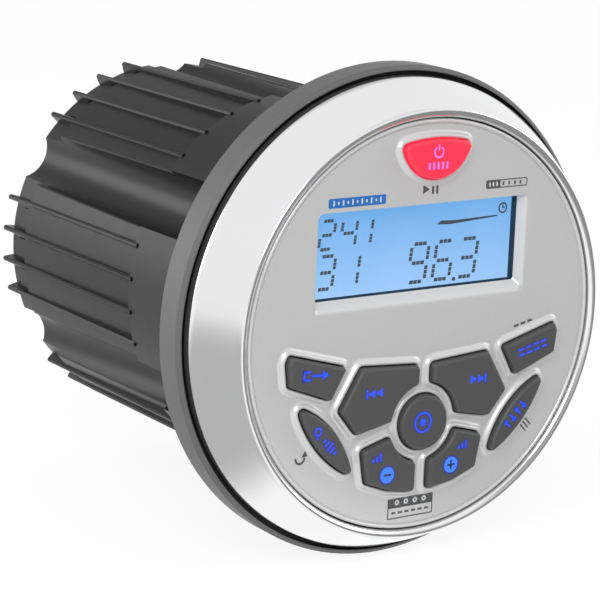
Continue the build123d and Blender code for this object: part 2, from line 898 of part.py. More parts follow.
def main_board():
    half_width = main_board_width / 2
    board = box((-half_width, main_board_front, board_bottom), (half_width, main_board_rear, board_top))
    hole = Circle(pillar_screw_radius + screw_hole_gap)
    for shares in pillar_shares:
        board -= upright(hole, board_place(shares), board_bottom - overrun, board_top + overrun)
    return board


def main_board_screws():
    screws = []
    head_top = board_top + pillar_screw_head_height
    for shares in pillar_shares:
        shank = upright(Circle(pillar_screw_radius), board_place(shares), tray_top, board_top)
        head = upright(Circle(pillar_screw_head_radius), board_place(shares), board_top, head_top)
        screws.append(shank + head)
    return screws


def block_on_board(shares, size_shares, height):
    """Block that stands on the main board."""
    outline = Rectangle(size_shares[0] * main_board_width, size_shares[1] * main_board_length)
    return upright(outline, board_place(shares), board_top, board_top + height)


def main_header():
    outline = Rectangle(header_width, header_length)
    return upright(outline, (0, main_board_front + header_length / 2), board_top, board_top + header_height)


def ribbon_cable():
    """Flat cable, arched a little between the two headers."""
    start = board_rear + key_header_depth
    end = main_board_front
    height = ribbon_height
    middle = (start + end) / 2
    lower = ThreePointArc((start, height), (middle, height + ribbon_arch), (end, height))
    upper = ThreePointArc(
        (start, height + ribbon_thickness),
        (middle, height + ribbon_arch + ribbon_thickness),
        (end, height + ribbon_thickness),
    )
    ends = [Line(lower @ 0, upper @ 0), Line(lower @ 1, upper @ 1)]
    side = Plane(origin=(-ribbon_width / 2, 0, 0), x_dir=(0, 1, 0), z_dir=(1, 0, 0))
    return extrude(side * make_face([lower, upper] + ends), amount=ribbon_width)


def capacitors():
    can = Circle(capacitor_radius_share * main_board_width)
    top = board_top + capacitor_height
    return [upright(can, board_place(shares), board_top, top) for shares in capacitor_shares]


def coils():
    """Wound rings that lie on the board."""
    ring = Circle(coil_outer_share * main_board_length) - Circle(coil_inner_share * main_board_length)
    top = board_top + coil_height
    return [upright(ring, board_place(shares), board_top, top) for shares in coil_shares]


def amplifier_chip():
    """Upright package against the heat sink, on a row of leads."""
    rear = main_board_rear - sink_base
    bottom = board_top + amplifier_lead_height
    body = box(
        (-amplifier_width / 2, rear - amplifier_thickness, bottom),
        (amplifier_width / 2, rear, bottom + amplifier_height),
    )
    lead = Rectangle(amplifier_lead_width, amplifier_lead_width)
    lead_depth = rear - amplifier_thickness / 2
    for number in range(amplifier_lead_count):
        x = (number - (amplifier_lead_count - 1) / 2) * amplifier_lead_pitch
        body += upright(lead, (x, lead_depth), board_top, bottom)
    return body


def heat_sink():
    """Upright base with fins towards the rear."""
    base = box(
        (-sink_width / 2, main_board_rear - sink_base, board_top),
        (sink_width / 2, main_board_rear, board_top + sink_height),
    )
    pitch = (sink_width - sink_fin_thickness) / (sink_fin_count - 1)
    for number in range(sink_fin_count):
        x = -sink_width / 2 + number * pitch
        base += box(
            (x, main_board_rear, board_top),
            (x + sink_fin_thickness, main_board_rear + sink_fin_length, board_top + sink_height),
        )
    return base


def all_pieces():
    """Every node of the stereo, by name."""
    pieces = {
        "trim_ring": trim_ring(),
        "front_chassis": front_chassis(),
        "faceplate": faceplate(),
        "display_lens": display_lens(),
        "lens_seal": lens_seal(),
        "display_frame": display_frame(),
        "display_glass": display_block(display_front, display_rear),
        "display_backlight": display_block(display_rear, board_front),
        "key_mat": key_mat(),
        "key_board": key_board(),
        "key_lamps": key_lamps(),
        "key_header": key_header(),
        "face_screws": face_screws(),
        "mounting_gasket": mounting_gasket(),
        "housing_seal": housing_seal(),
        "housing": housing(),
        "housing_screws": housing_screws(),
        "rear_cover": rear_cover(),
        "cover_seal": cover_seal(),
        "cover_screws": cover_screws(),
        "mounting_inserts": mounting_inserts(),
        "cable_gland": cable_gland(),
        "gland_nut": gland_nut(),
        "aerial_socket": aerial_socket(),
        "board_tray": board_tray(),
        "tray_screws": tray_screws(),
        "board_pillars": board_pillars(),
        "main_board": main_board(),
        "main_board_screws": main_board_screws(),
        "main_header": main_header(),
        "ribbon_cable": ribbon_cable(),
        "controller_chip": block_on_board(controller_shares, controller_size_shares, controller_height),
        "tuner_module": block_on_board(tuner_shares, tuner_size_shares, tuner_height),
        "wireless_module": block_on_board(wireless_shares, wireless_size_shares, wireless_height),
        "capacitors": capacitors(),
        "coils": coils(),
        "amplifier_chip": amplifier_chip(),
        "heat_sink": heat_sink(),
    }
    for name, (outline, shares) in keys.items():
        power = name == "power_button"
        front = power_key_front if power else key_front
        edge = power_key_edge if power else key_edge
        pieces[name] = button(outline, face_places([shares], 1)[0], front, edge)
    return pieces


if __name__ == "__main__":
    os.makedirs("parts", exist_ok=True)
    for name, piece in all_pieces().items():
        solids = piece if isinstance(piece, list) else [piece]
        shape = Compound(children=solids) if len(solids) > 1 else solids[0]
        export_step(shape, f"parts/{name}.step")
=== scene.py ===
import logging
import math
from contextlib import contextmanager
from dataclasses import dataclass, field
from enum import Enum
from functools import reduce
from typing import Iterator, Sequence, Union

import bmesh
import bpy
from mathutils import Matrix, Vector


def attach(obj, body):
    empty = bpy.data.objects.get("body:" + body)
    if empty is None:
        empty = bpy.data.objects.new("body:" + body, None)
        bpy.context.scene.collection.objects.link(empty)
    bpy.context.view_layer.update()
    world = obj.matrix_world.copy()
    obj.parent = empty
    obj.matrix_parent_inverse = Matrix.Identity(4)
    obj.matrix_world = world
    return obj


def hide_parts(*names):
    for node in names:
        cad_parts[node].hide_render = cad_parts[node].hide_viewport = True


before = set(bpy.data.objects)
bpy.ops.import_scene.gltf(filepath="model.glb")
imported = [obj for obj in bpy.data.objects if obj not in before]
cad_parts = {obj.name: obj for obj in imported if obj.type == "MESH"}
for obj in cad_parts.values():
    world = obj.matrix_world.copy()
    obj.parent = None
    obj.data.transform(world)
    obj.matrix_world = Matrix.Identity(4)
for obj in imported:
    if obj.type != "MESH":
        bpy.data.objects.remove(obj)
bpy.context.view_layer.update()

log = logging.getLogger("marine_stereo")

Colour = tuple[float, float, float]
Place = tuple[float, float]
Loop = list[Place]
Sides = tuple[float, ...]
Item = bpy.types.Object
Material = bpy.types.Material
Socket = bpy.types.NodeSocket

# Sizes in this file are in millimetres, and MM makes them metres. Angles are in degrees.

MM = 0.001
FACE_FRONT = -20.3
KEY_FRONT = -22.5
GLASS_FRONT = -16.5
INK = 0.02
CREASE = 40
STEREO = "stereo"
WHITE = (1.0, 1.0, 1.0)


# Nodes and finishes

@dataclass
class Value:
    """A number that varies over a surface. Arithmetic on it adds Math nodes."""

    graph: "Graph"
    socket: Socket

    def _math(self, operation: str, first: object, second: object) -> "Value":
        """The result of a new Math node."""
        return self.graph.value("ShaderNodeMath", {"operation": operation}, {0: first, 1: second})

    def __add__(self, other: object) -> "Value":
        """Sum."""
        return self._math("ADD", self, other)

    __radd__ = __add__

    def __sub__(self, other: object) -> "Value":
        """Difference."""
        return self._math("SUBTRACT", self, other)

    def __rsub__(self, other: object) -> "Value":
        """Difference, the other way round."""
        return self._math("SUBTRACT", other, self)

    def __mul__(self, other: object) -> "Value":
        """Product."""
        return self._math("MULTIPLY", self, other)

    __rmul__ = __mul__

    def __gt__(self, other: object) -> "Value":
        """1 where this value is the larger, else 0."""
        return self._math("GREATER_THAN", self, other)

    def __lt__(self, other: object) -> "Value":
        """1 where this value is the smaller, else 0."""
        return self._math("LESS_THAN", self, other)

    def clamped(self) -> "Value":
        """The value kept between 0 and 1."""
        return self.graph.value("ShaderNodeClamp", {}, {"Value": self})


@dataclass
class Graph:
    """A node tree, and the ways to add to it."""

    tree: bpy.types.NodeTree

    def node(self, kind: str, settings: dict, inputs: dict) -> bpy.types.Node:
        """Adds a node.

        Args:
            kind: the node's type.
            settings: its properties, set first.
            inputs: numbers, colours or links for its sockets, by name or place.

        Returns:
            The new node.
        """
        made = self.tree.nodes.new(kind)
        for key, value in settings.items():
            setattr(made, key, value)
        for key, value in inputs.items():
            self.feed(made.inputs[key], value)
        return made

    def feed(self, socket: Socket, value: object) -> None:
        """Gives a socket a link, a colour or a number.

        Args:
            socket: the socket to feed.
            value: a Value, an output socket, or what the socket holds.
        """
        value = value.socket if isinstance(value, Value) else value
        if isinstance(value, Socket):
            self.tree.links.new(value, socket)
        elif socket.type == "RGBA":
            socket.default_value = (*value, 1.0)
        else:
            socket.default_value = value

    def value(self, kind: str, settings: dict, inputs: dict, output: Union[int, str] = 0) -> Value:
        """One output of a new node."""
        return Value(self, self.node(kind, settings, inputs).outputs[output])

    def mixed(self, share: object, low: object, high: object) -> Socket:
        """Two colours mixed, all low at a share of 0."""
        inputs = {0: share, 6: low, 7: high}
        return self.node("ShaderNodeMix", {"data_type": "RGBA"}, inputs).outputs[2]

    def blended(self, share: object, low: Socket, high: Socket) -> Socket:
        """Two shaders mixed, all low at a share of 0."""
        return self.node("ShaderNodeMixShader", {}, {0: share, 1: low, 2: high}).outputs[0]

    def white(self, kind: str, strength: float) -> Socket:
        """A shader that gives plain white light, 1 being white to the camera."""
        return self.node(kind, {}, {"Color": WHITE, "Strength": strength}).outputs[0]

    def rays(self) -> list[Value]:
        """Three values, each 1 on the camera's, the glossy or the transmitted rays."""
        path = self.node("ShaderNodeLightPath", {}, {}).outputs
        return [Value(self, path[f"Is {kind} Ray"]) for kind in ("Camera", "Glossy", "Transmission")]


class Surface(Graph):
    """One material with a Principled shader, and the nodes that feed it."""

    def __init__(self, name: str, **constants: float) -> None:
        """Makes the material.

        Args:
            name: the material's name.
            constants: values for the shader's sockets, with _ for each space.
        """
        self.material = bpy.data.materials.new(name)
        self.material.use_nodes = True
        super().__init__(self.material.node_tree)
        self.shader = self.tree.nodes["Principled BSDF"]
        self.coat(**constants)

    def coat(self, **values: object) -> None:
        """Feeds the shader's sockets, which are named with _ for each space."""
        for key, value in values.items():
            self.feed(self.shader.inputs[key.replace("_", " ")], value)

    def coordinates(self) -> Socket:
        """The place on the object, in metres."""
        return self.node("ShaderNodeTexCoord", {}, {}).outputs["Object"]

    def axes(self) -> list[Value]:
        """The X, Y and Z places on the object, in metres."""
        split = self.node("ShaderNodeSeparateXYZ", {}, {0: self.coordinates()})
        return [Value(self, output) for output in split.outputs]

    def noise(self, scale: float, detail: float = 3.0) -> Value:
        """Noise from 0 to 1, with scale features to the metre and detail layers of finer ones."""
        inputs = {"Vector": self.coordinates(), "Scale": scale, "Detail": detail}
        return self.value("ShaderNodeTexNoise", {}, inputs)

    def tinted(self, share: Value, colour: Colour, low: float, high: float = 1.0) -> Socket:
        """A colour that goes from low to high times its brightness with the share."""
        ends = [tuple(min(1.0, channel * factor) for channel in colour) for factor in (low, high)]
        return self.mixed(share, *ends)

    def bump(self, height: Value, distance: float, strength: float) -> None:
        """Feeds the shader's normal from a height, whose 1 is a distance in millimetres."""
        inputs = {"Height": height, "Distance": distance * MM, "Strength": strength}
        self.coat(Normal=self.node("ShaderNodeBump", {}, inputs).outputs[0])


@dataclass(frozen=True)
class Finish:
    """An even finish with a little mottling, uneven gloss and a fine grain."""

    name: str
    colour: Colour
    roughness: float = 0.45
    metallic: float = 0.0
    mottle: float = 0.10
    coat: float = 0.0
    coat_roughness: float = 0.08
    specular: float = 0.5
    mottle_scale: float = 90.0
    gloss_scale: float = 279.0
    gloss_spread: float = 0.10
    grain_scale: float = 2600.0
    grain_height: float = 0.012
    grain_strength: float = 0.6

    def made(self) -> Material:
        """Makes the material.

        Returns:
            The material.
        """
        surface = Surface(
            self.name,
            Metallic=self.metallic,
            Coat_Weight=self.coat,
            Coat_Roughness=self.coat_roughness,
            Specular_IOR_Level=self.specular,
        )
        mottle, gloss = surface.noise(self.mottle_scale), surface.noise(self.gloss_scale, 4.0)
        surface.coat(
            Base_Color=surface.tinted(mottle, self.colour, 1 - self.mottle, 1 + self.mottle),
            Roughness=((gloss - 0.5) * self.gloss_spread + self.roughness).clamped(),
        )
        surface.bump(surface.noise(self.grain_scale, 2.0), self.grain_height, self.grain_strength)
        return surface.material


@dataclass(frozen=True)
class FlangeFinish:
    """Moulded plastic, pale on the flange's rim, with black painted shadow in the groove round the ring."""

    name: str = "flange_moulding"
    rim_colour: Colour = (0.145, 0.145, 0.146)
    # Black painted shadow in the groove round the ring, and on the chassis inside it.
    groove_shadow_colour: Colour = (0.004, 0.004, 0.004)
    rim_radius: float = 53.3
    specular: float = 0.3
    roughness: float = 0.42
    mottle: float = 0.1
    mottle_scale: float = 90.0
    grain_scale: float = 2600.0
    grain_height: float = 0.015
    grain_strength: float = 0.6

    def made(self) -> Material:
        """Makes the material.

        Returns:
            The material.
        """
        surface = Surface(self.name, Specular_IOR_Level=self.specular)
        x, _, z = surface.axes()
        mottle = surface.noise(self.mottle_scale)
        # Inside the rim's radius the colour is black painted shadow, for the groove and what lies within it.
        in_groove_shadow = (x * x + z * z) < (self.rim_radius * MM) ** 2
        rim = surface.tinted(mottle, self.rim_colour, 1 - self.mottle, 1 + self.mottle)
        surface.coat(
            Base_Color=surface.mixed(in_groove_shadow, rim, self.groove_shadow_colour),
            Roughness=(mottle * self.mottle + self.roughness).clamped(),
        )
        surface.bump(surface.noise(self.grain_scale, 2.0), self.grain_height, self.grain_strength)
        return surface.material


@dataclass(frozen=True)
class SilverPaint:
    """Satin metallic paint with a fine flake."""

    name: str = "silver_paint"
    colour: Colour = (0.67, 0.67, 0.67)
    low: float = 0.94
    high: float = 1.05
    metallic: float = 0.25
    coat: float = 0.3
    coat_roughness: float = 0.16
    roughness: float = 0.25
    roughness_spread: float = 0.10
    drift_scale: float = 35.0
    flake_scale: float = 5200.0
    flake_height: float = 0.006
    flake_strength: float = 0.5

    def made(self) -> Material:
        """Makes the material.

        Returns:
            The material.
        """
        surface = Surface(
            self.name,
            Metallic=self.metallic,
            Coat_Weight=self.coat,
            Coat_Roughness=self.coat_roughness,
        )
        flake, drift = surface.noise(self.flake_scale, 1.0), surface.noise(self.drift_scale)
        share = (flake * 0.5 + drift * 0.5).clamped()
        surface.coat(
            Base_Color=surface.tinted(share, self.colour, self.low, self.high),
            Roughness=(flake * self.roughness_spread + self.roughness).clamped(),
        )
        surface.bump(flake, self.flake_height, self.flake_strength)
        return surface.material


@dataclass(frozen=True)
class Plating:
    """Bright plating, faintly hazed by polishing."""

    name: str = "bright_plating"
    colour: Colour = (0.83, 0.83, 0.84)
    low: float = 0.97
    roughness: float = 0.10
    roughness_spread: float = 0.05
    haze_scale: float = 50.0
    ripple_scale: float = 400.0
    ripple_height: float = 0.004
    ripple_strength: float = 0.4

    def made(self) -> Material:
        """Makes the material.

        Returns:
            The material.
        """
        surface = Surface(self.name, Metallic=1.0)
        haze = surface.noise(self.haze_scale, 4.0)
        surface.coat(
            Base_Color=surface.tinted(haze, self.colour, self.low),
            Roughness=(haze * self.roughness_spread + self.roughness).clamped(),
        )
        surface.bump(surface.noise(self.ripple_scale, 2.0), self.ripple_height, self.ripple_strength)
        return surface.material


@dataclass(frozen=True)
class Glow:
    """Sign or key lit from behind, a little uneven."""

    name: str
    colour: Colour
    strength: float
    base: Colour
    roughness: float = 0.35
    spread: float = 0.25
    cloud_scale: float = 260.0
    grain_scale: float = 1800.0
    grain_height: float = 0.01
    grain_strength: float = 0.5

    def made(self) -> Material:
        """Makes the material.

        Returns:
            The material.
        """
        surface = Surface(self.name, Emission_Strength=self.strength, Roughness=self.roughness)
        cloud = surface.noise(self.cloud_scale, 2.0)
        glow = surface.tinted(cloud, self.colour, 1 - self.spread)
        surface.coat(Base_Color=self.base, Emission_Color=glow)
        surface.bump(surface.noise(self.grain_scale, 2.0), self.grain_height, self.grain_strength)
        return surface.material


@dataclass(frozen=True)
class Backlight:
    """Lit display: its colour changes over its height, and a dark mask surrounds the lit area: the display's
    unlit border, darkened further as painted shade of the recess round the window.
    """

    name: str = "lit_display"
    left: float = -27.4
    right: float = 25.0
    bottom: float = 7.6
    top: float = 27.5
    low_colour: Colour = (0.37, 0.62, 1.0)
    high_colour: Colour = (0.10, 0.385, 0.80)
    # The unlit border's dark colour, darkened further as painted shade of the recess round the window.
    unlit_mask_and_shade_colour: Colour = (0.006, 0.022, 0.04)
    base: Colour = (0.01, 0.02, 0.04)
    strength: float = 1.0
    roughness: float = 0.4
    specular: float = 0.08
    cloud_scale: float = 60.0
    cloud_share: float = 0.35
    rise_share: float = 0.85

    def made(self) -> Material:
        """Makes the material.

        Returns:
            The material.
        """
        surface = Surface(
            self.name,
            Emission_Strength=self.strength,
            Roughness=self.roughness,
            Specular_IOR_Level=self.specular,
        )
        x, _, z = surface.axes()
        across = (x > self.left * MM) * (x < self.right * MM)
        lit = across * (z > self.bottom * MM) * (z < self.top * MM)
        rise = ((z - self.bottom * MM) * (1 / ((self.top - self.bottom) * MM))).clamped()
        cloud = surface.noise(self.cloud_scale, 2.0) - 0.5
        share = (rise * self.rise_share + cloud * self.cloud_share).clamped()
        colour = surface.mixed(share, self.low_colour, self.high_colour)
        # Outside the lit area the glass shows the dark mask, partly painted shade of the window's recess.
        surface.coat(Base_Color=self.base, Emission_Color=surface.mixed(lit, self.unlit_mask_and_shade_colour, colour))
        return surface.material


@dataclass(frozen=True)
class ClearLens:
    """Clear hard-coated window, faintly smudged."""

    name: str = "clear_lens"
    colour: Colour = (0.2, 0.3, 0.4)
    specular: float = 0.3
    roughness: float = 0.04
    roughness_spread: float = 0.08
    haze: float = 0.03
    haze_spread: float = 0.02
    smudge_scale: float = 70.0

    def made(self) -> Material:
        """Makes the material.

        Returns:
            The material.
        """
        surface = Surface(self.name, Specular_IOR_Level=self.specular)
        smudge = surface.noise(self.smudge_scale, 4.0)
        surface.coat(
            Base_Color=self.colour,
            Roughness=(smudge * self.roughness_spread + self.roughness).clamped(),
            Alpha=(smudge * self.haze_spread + self.haze).clamped(),
        )
        return surface.material


RUBBER = Finish("black_rubber", (0.018, 0.018, 0.018), 0.7, grain_height=0.02)
TIN = Finish("tin_plate", (0.68, 0.68, 0.69), 0.25, 1.0)


# Modelling

class Bench:
    """The modelling steps that all pieces share."""

    @staticmethod
    def clear() -> None:
        """Leaves edit mode and deselects everything."""
        if bpy.context.mode != "OBJECT":
            bpy.ops.object.mode_set(mode="OBJECT")
        bpy.ops.object.select_all(action="DESELECT")

    @staticmethod
    def pick(*items: Item) -> None:
        """Selects these objects alone and makes the first one active.

        Args:
            items: what to select.
        """
        Bench.clear()
        for item in items:
            item.select_set(True)
        bpy.context.view_layer.objects.active = items[0]

    @staticmethod
    @contextmanager
    def editing(item: Item) -> Iterator[None]:
        """Edit mode on one object, which starts with all of it selected.

        Args:
            item: the object.

        Yields:
            Nothing.
        """
        Bench.pick(item)
        bpy.ops.object.mode_set(mode="EDIT")
        bpy.ops.mesh.select_all(action="SELECT")
        yield
        bpy.ops.object.mode_set(mode="OBJECT")

    @staticmethod
    def outwards() -> None:
        """Makes all faces of the piece in edit mode point outwards."""
        bpy.ops.mesh.select_all(action="SELECT")
        bpy.ops.mesh.normals_make_consistent(inside=False)

    @staticmethod
    def named(name: str) -> Item:
        """Names the object that an operator has just added.

        Args:
            name: its new name.

        Returns:
            The object.
        """
        made = bpy.context.active_object
        made.name = made.data.name = name
        return made

    @staticmethod
    def settle(item: Item) -> Item:
        """Puts an object's place into its mesh.

        Args:
            item: the object.

        Returns:
            The same object, at the origin.
        """
        item.data.transform(item.matrix_basis)
        item.matrix_basis = Matrix.Identity(4)
        return item

    @staticmethod
    def joined(name: str, parts: Sequence[Item]) -> Item:
        """Joins meshes into one object.

        Args:
            name: the name of the whole.
            parts: the objects to join.

        Returns:
            The joined object.
        """
        for part in parts:
            Bench.settle(part)
        Bench.pick(*parts)
        if len(parts) > 1:
            bpy.ops.object.join()
        whole = Bench.named(name)
        Bench.clear()
        return whole

    @staticmethod
    def raised(item: Item, height: float) -> Item:
        """Extrudes a flat piece in the XY plane towards +Z.

        Args:
            item: the piece.
            height: its thickness.

        Returns:
            The same piece.
        """
        with Bench.editing(Bench.settle(item)):
            bpy.ops.mesh.extrude_region_move(TRANSFORM_OT_translate={"value": (0, 0, height * MM)})
            Bench.outwards()
        return item

    @staticmethod
    def faced(item: Item, depth: float) -> Item:
        """Turns a piece modelled in X and Y to face the front at a depth.

        Args:
            item: a mesh whose +Z is towards the viewer.
            depth: where its Z = 0 goes along Y.

        Returns:
            The same piece.
        """
        turn = Matrix.Rotation(math.radians(90), 4, "X")
        Bench.settle(item).data.transform(Matrix.Translation((0, depth * MM, 0)) @ turn)
        return item

    @staticmethod
    def ring(name: str, outline: Sequence[Place], height: float = 0.0, filled: bool = False) -> Item:
        """Adds a circle and puts its corners on an outline.

        Args:
            name: the piece's name.
            outline: the corners, in X and Y.
            height: their height along Z.
            filled: True for a face, False for its edge alone.

        Returns:
            The ring.
        """
        Bench.clear()
        fill = "NGON" if filled else "NOTHING"
        bpy.ops.mesh.primitive_circle_add(vertices=len(outline), radius=MM, fill_type=fill)
        item = Bench.named(name)
        for vertex, (x, y) in zip(item.data.vertices, outline):
            vertex.co = (x * MM, y * MM, height * MM)
        return item

    @staticmethod
    def spun(name: str, profile: Sequence[Place], steps: int) -> Item:
        """Turns a profile about the Y axis with the spin operator.

        Args:
            name: the piece's name.
            profile: closed outline of (radius, depth) points.
            steps: number of steps round.

        Returns:
            The turned piece.
        """
        item = Bench.ring(name, profile)
        with Bench.editing(item):
            bpy.ops.mesh.spin(steps=steps, angle=math.tau, center=(0, 0, 0), axis=(0, 1, 0))
            bpy.ops.mesh.select_all(action="SELECT")
            bpy.ops.mesh.remove_doubles(threshold=0.01 * MM)
            Bench.outwards()
        return item

    @staticmethod
    def lofted(name: str, rings: Sequence[tuple[Sequence[Place], float]], closed: bool) -> Item:
        """Extrudes an outline through a row of others, each with as many points.

        Args:
            name: the piece's name.
            rings: each outline, in X and Y, with its height along Z.
            closed: True bridges the last outline to the first, False fills both ends.

        Returns:
            The piece.
        """
        item = Bench.ring(name, *rings[0], filled=not closed)
        with Bench.editing(item):
            for outline, height in rings[1:]:
                bpy.ops.mesh.extrude_region_move()
                chosen = [vertex for vertex in bmesh.from_edit_mesh(item.data).verts if vertex.select]
                for vertex, (x, y) in zip(chosen, outline):
                    vertex.co = (x * MM, y * MM, height * MM)
                bmesh.update_edit_mesh(item.data)
            if closed:
                bpy.ops.mesh.select_all(action="DESELECT")
                bpy.ops.mesh.select_mode(type="EDGE")
                bpy.ops.mesh.select_non_manifold(
                    use_wire=False, use_multi_face=False, use_non_contiguous=False
                )
                bpy.ops.mesh.bridge_edge_loops()
            Bench.outwards()
            bpy.ops.mesh.select_mode(type="VERT")
        return item

    @staticmethod
    def sheet(name: str, outlines: Sequence[Sequence[Place]], height: float = 0.0) -> Item:
        """Flat sheet with holes.

        Args:
            name: the piece's name.
            outlines: its outer outline and then its holes, in X and Y.
            height: its height along Z.

        Returns:
            The sheet.
        """
        item = Bench.joined(name, [Bench.ring(name, outline, height) for outline in outlines])
        with Bench.editing(item):
            bpy.ops.mesh.fill(use_beauty=True)
        return item

    @staticmethod
    def slab(name: str, outlines: Sequence[Sequence[Place]], bottom: float, top: float) -> Item:
        """Flat plate with holes, between two heights along Z."""
        return Bench.raised(Bench.sheet(name, outlines, bottom), top - bottom)

    @staticmethod
    def smoothed(item: Item, angle: float = CREASE) -> Item:
        """Smooth shading, with edges sharper than an angle left sharp.

        Args:
            item: the piece.
            angle: the angle.

        Returns:
            The same piece.
        """
        Bench.pick(item)
        bpy.ops.object.shade_smooth_by_angle(angle=math.radians(angle))
        Bench.clear()
        return item

    @staticmethod
    def dress(item: Item, material: Material) -> None:
        """Gives an object its only material.

        Args:
            item: a piece or a CAD node.
            material: the material.
        """
        item.data.materials.clear()
        item.data.materials.append(material)
        log.info("%s is dressed in %s", item.name, material.name)

    @staticmethod
    def done(item: Item, body: str, slot: str, material: Material, *replaces: str) -> None:
        """Gives a finished piece its material and its place in the frame.

        Args:
            item: the piece.
            body: the CAD body that it rides on.
            slot: not used.
            material: its material.
            replaces: the CAD nodes that it stands for.
        """
        Bench.dress(Bench.settle(item), material)
        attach(item, body)
        if replaces:
            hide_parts(*replaces)


class Outline:
    """Closed outlines in X and Z, anticlockwise."""

    key_cut: float = FACE_FRONT - 0.6
    key_grid: int = 50
    point_step: float = 0.36
    corner_steps: int = 8

    @staticmethod
    def sides(loop: list) -> Iterator[tuple]:
        """Each corner with the next one."""
        return zip(loop, loop[1:] + loop[:1])

    @staticmethod
    def between(start: Sequence[float], end: Sequence[float], share: float) -> tuple:
        """The numbers at a share of the way from some to others."""
        return tuple(here + (there - here) * share for here, there in zip(start, end))

    @staticmethod
    def middle(loop: Loop) -> Vector:
        """The mean of an outline's points."""
        return Vector((sum(x for x, z in loop), sum(z for x, z in loop))) / len(loop)

    @staticmethod
    def of_key(node: str) -> Loop:
        """Outline of a key's cap, where a plane in front of the face cuts its solid.

        Args:
            node: the key's node.

        Returns:
            The outline, with evenly spaced points.
        """
        depth = Outline.key_cut * MM
        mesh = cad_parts[node].data
        links: dict[tuple[int, int], list[tuple[int, int]]] = {}
        places: dict[tuple[int, int], Place] = {}
        for triangle in mesh.polygons:
            crossing = []
            for a, b in Outline.sides([mesh.vertices[index].co for index in triangle.vertices]):
                if (a.y - depth) * (b.y - depth) < 0:
                    spot = (a + (b - a) * ((depth - a.y) / (b.y - a.y))) / MM
                    key = (round(spot.x * Outline.key_grid), round(spot.z * Outline.key_grid))
                    places[key] = (spot.x, spot.z)
                    crossing.append(key)
            if len(crossing) == 2 and crossing[0] != crossing[1]:
                for here, there in (crossing, crossing[::-1]):
                    links.setdefault(here, []).append(there)
        chain = [min(links)]
        while onward := [key for key in links[chain[-1]] if key not in chain]:
            chain.append(onward[0])
        loop = [places[key] for key in chain]
        area = sum(a[0] * b[1] - b[0] * a[1] for a, b in Outline.sides(loop))
        return Outline.even(loop if area > 0 else loop[::-1])

    @staticmethod
    def even(loop: Loop) -> Loop:
        """The same outline with evenly spaced points.

        Args:
            loop: the outline.

        Returns:
            The new outline.
        """
        runs = [math.dist(a, b) for a, b in Outline.sides(loop)]
        count = round(sum(runs) / Outline.point_step)
        spacing = sum(runs) / count
        result, walked, index = [], 0.0, 0
        for n in range(count):
            while walked + runs[index] < n * spacing:
                walked += runs[index]
                index += 1
            share = (n * spacing - walked) / runs[index]
            result.append(Outline.between(loop[index], loop[(index + 1) % len(loop)], share))
        return result

    @staticmethod
    def grown(loop: Loop, amount: float) -> Loop:
        """An outline made larger all round.

        Args:
            loop: the outline.
            amount: how far it moves outwards, or inwards if negative.

        Returns:
            The new outline, with as many points.
        """
        result = []
        for before, here, after in zip(loop[-1:] + loop[:-1], loop, loop[1:] + loop[:1]):
            into = Vector((here[0] - before[0], here[1] - before[1])).normalized()
            away = Vector((after[0] - here[0], after[1] - here[1])).normalized()
            first, second = Vector((into.y, -into.x)), Vector((away.y, -away.x))
            normal = (first + second) / max(0.5, 1 + first.dot(second))
            result.append((here[0] + normal.x * amount, here[1] + normal.y * amount))
        return result

    @staticmethod
    def shrunk(loop: Loop, amount: float) -> Loop:
        """An outline drawn in towards its middle, which keeps its corners round.

        Args:
            loop: the outline.
            amount: how far it moves on average.

        Returns:
            The new outline, with as many points.
        """
        middle = Outline.middle(loop)
        reach = sum((Vector(place) - middle).length for place in loop) / len(loop)
        return [tuple(middle + (Vector(place) - middle) * (1 - amount / reach)) for place in loop]

    @staticmethod
    def stretched(loop: Loop, factor: float, drop: float) -> Loop:
        """An outline made longer along its own long axis.

        Args:
            loop: the outline.
            factor: how much longer.
            drop: how far it also moves down.

        Returns:
            The new outline, with as many points.
        """
        middle = Outline.middle(loop)
        far = max(loop, key=lambda place: (Vector(place) - middle).length)
        axis = (Vector(far) - middle).normalized()
        result = []
        for place in loop:
            moved = Vector(place) + axis * (Vector(place) - middle).dot(axis) * (factor - 1)
            result.append((moved.x, moved.y - drop))
        return result

    @staticmethod
    def circle(radius: float, count: int) -> Loop:
        """A round outline with a number of points."""
        angles = [math.tau * n / count for n in range(count)]
        return [(radius * math.cos(angle), radius * math.sin(angle)) for angle in angles]

    @staticmethod
    def rectangle(left: float, right: float, bottom: float, top: float, corner: float) -> Loop:
        """A rectangle with round corners.

        Args:
            left: lowest X.
            right: highest X.
            bottom: lowest Z.
            top: highest Z.
            corner: radius of the corners.

        Returns:
            The outline.
        """
        places = []
        middles = [(right - corner, top - corner), (left + corner, top - corner)]
        middles += [(left + corner, bottom + corner), (right - corner, bottom + corner)]
        for quarter, (x, z) in enumerate(middles):
            for n in range(Outline.corner_steps + 1):
                angle = math.pi / 2 * (quarter + n / Outline.corner_steps)
                places.append((x + corner * math.cos(angle), z + corner * math.sin(angle)))
        return places


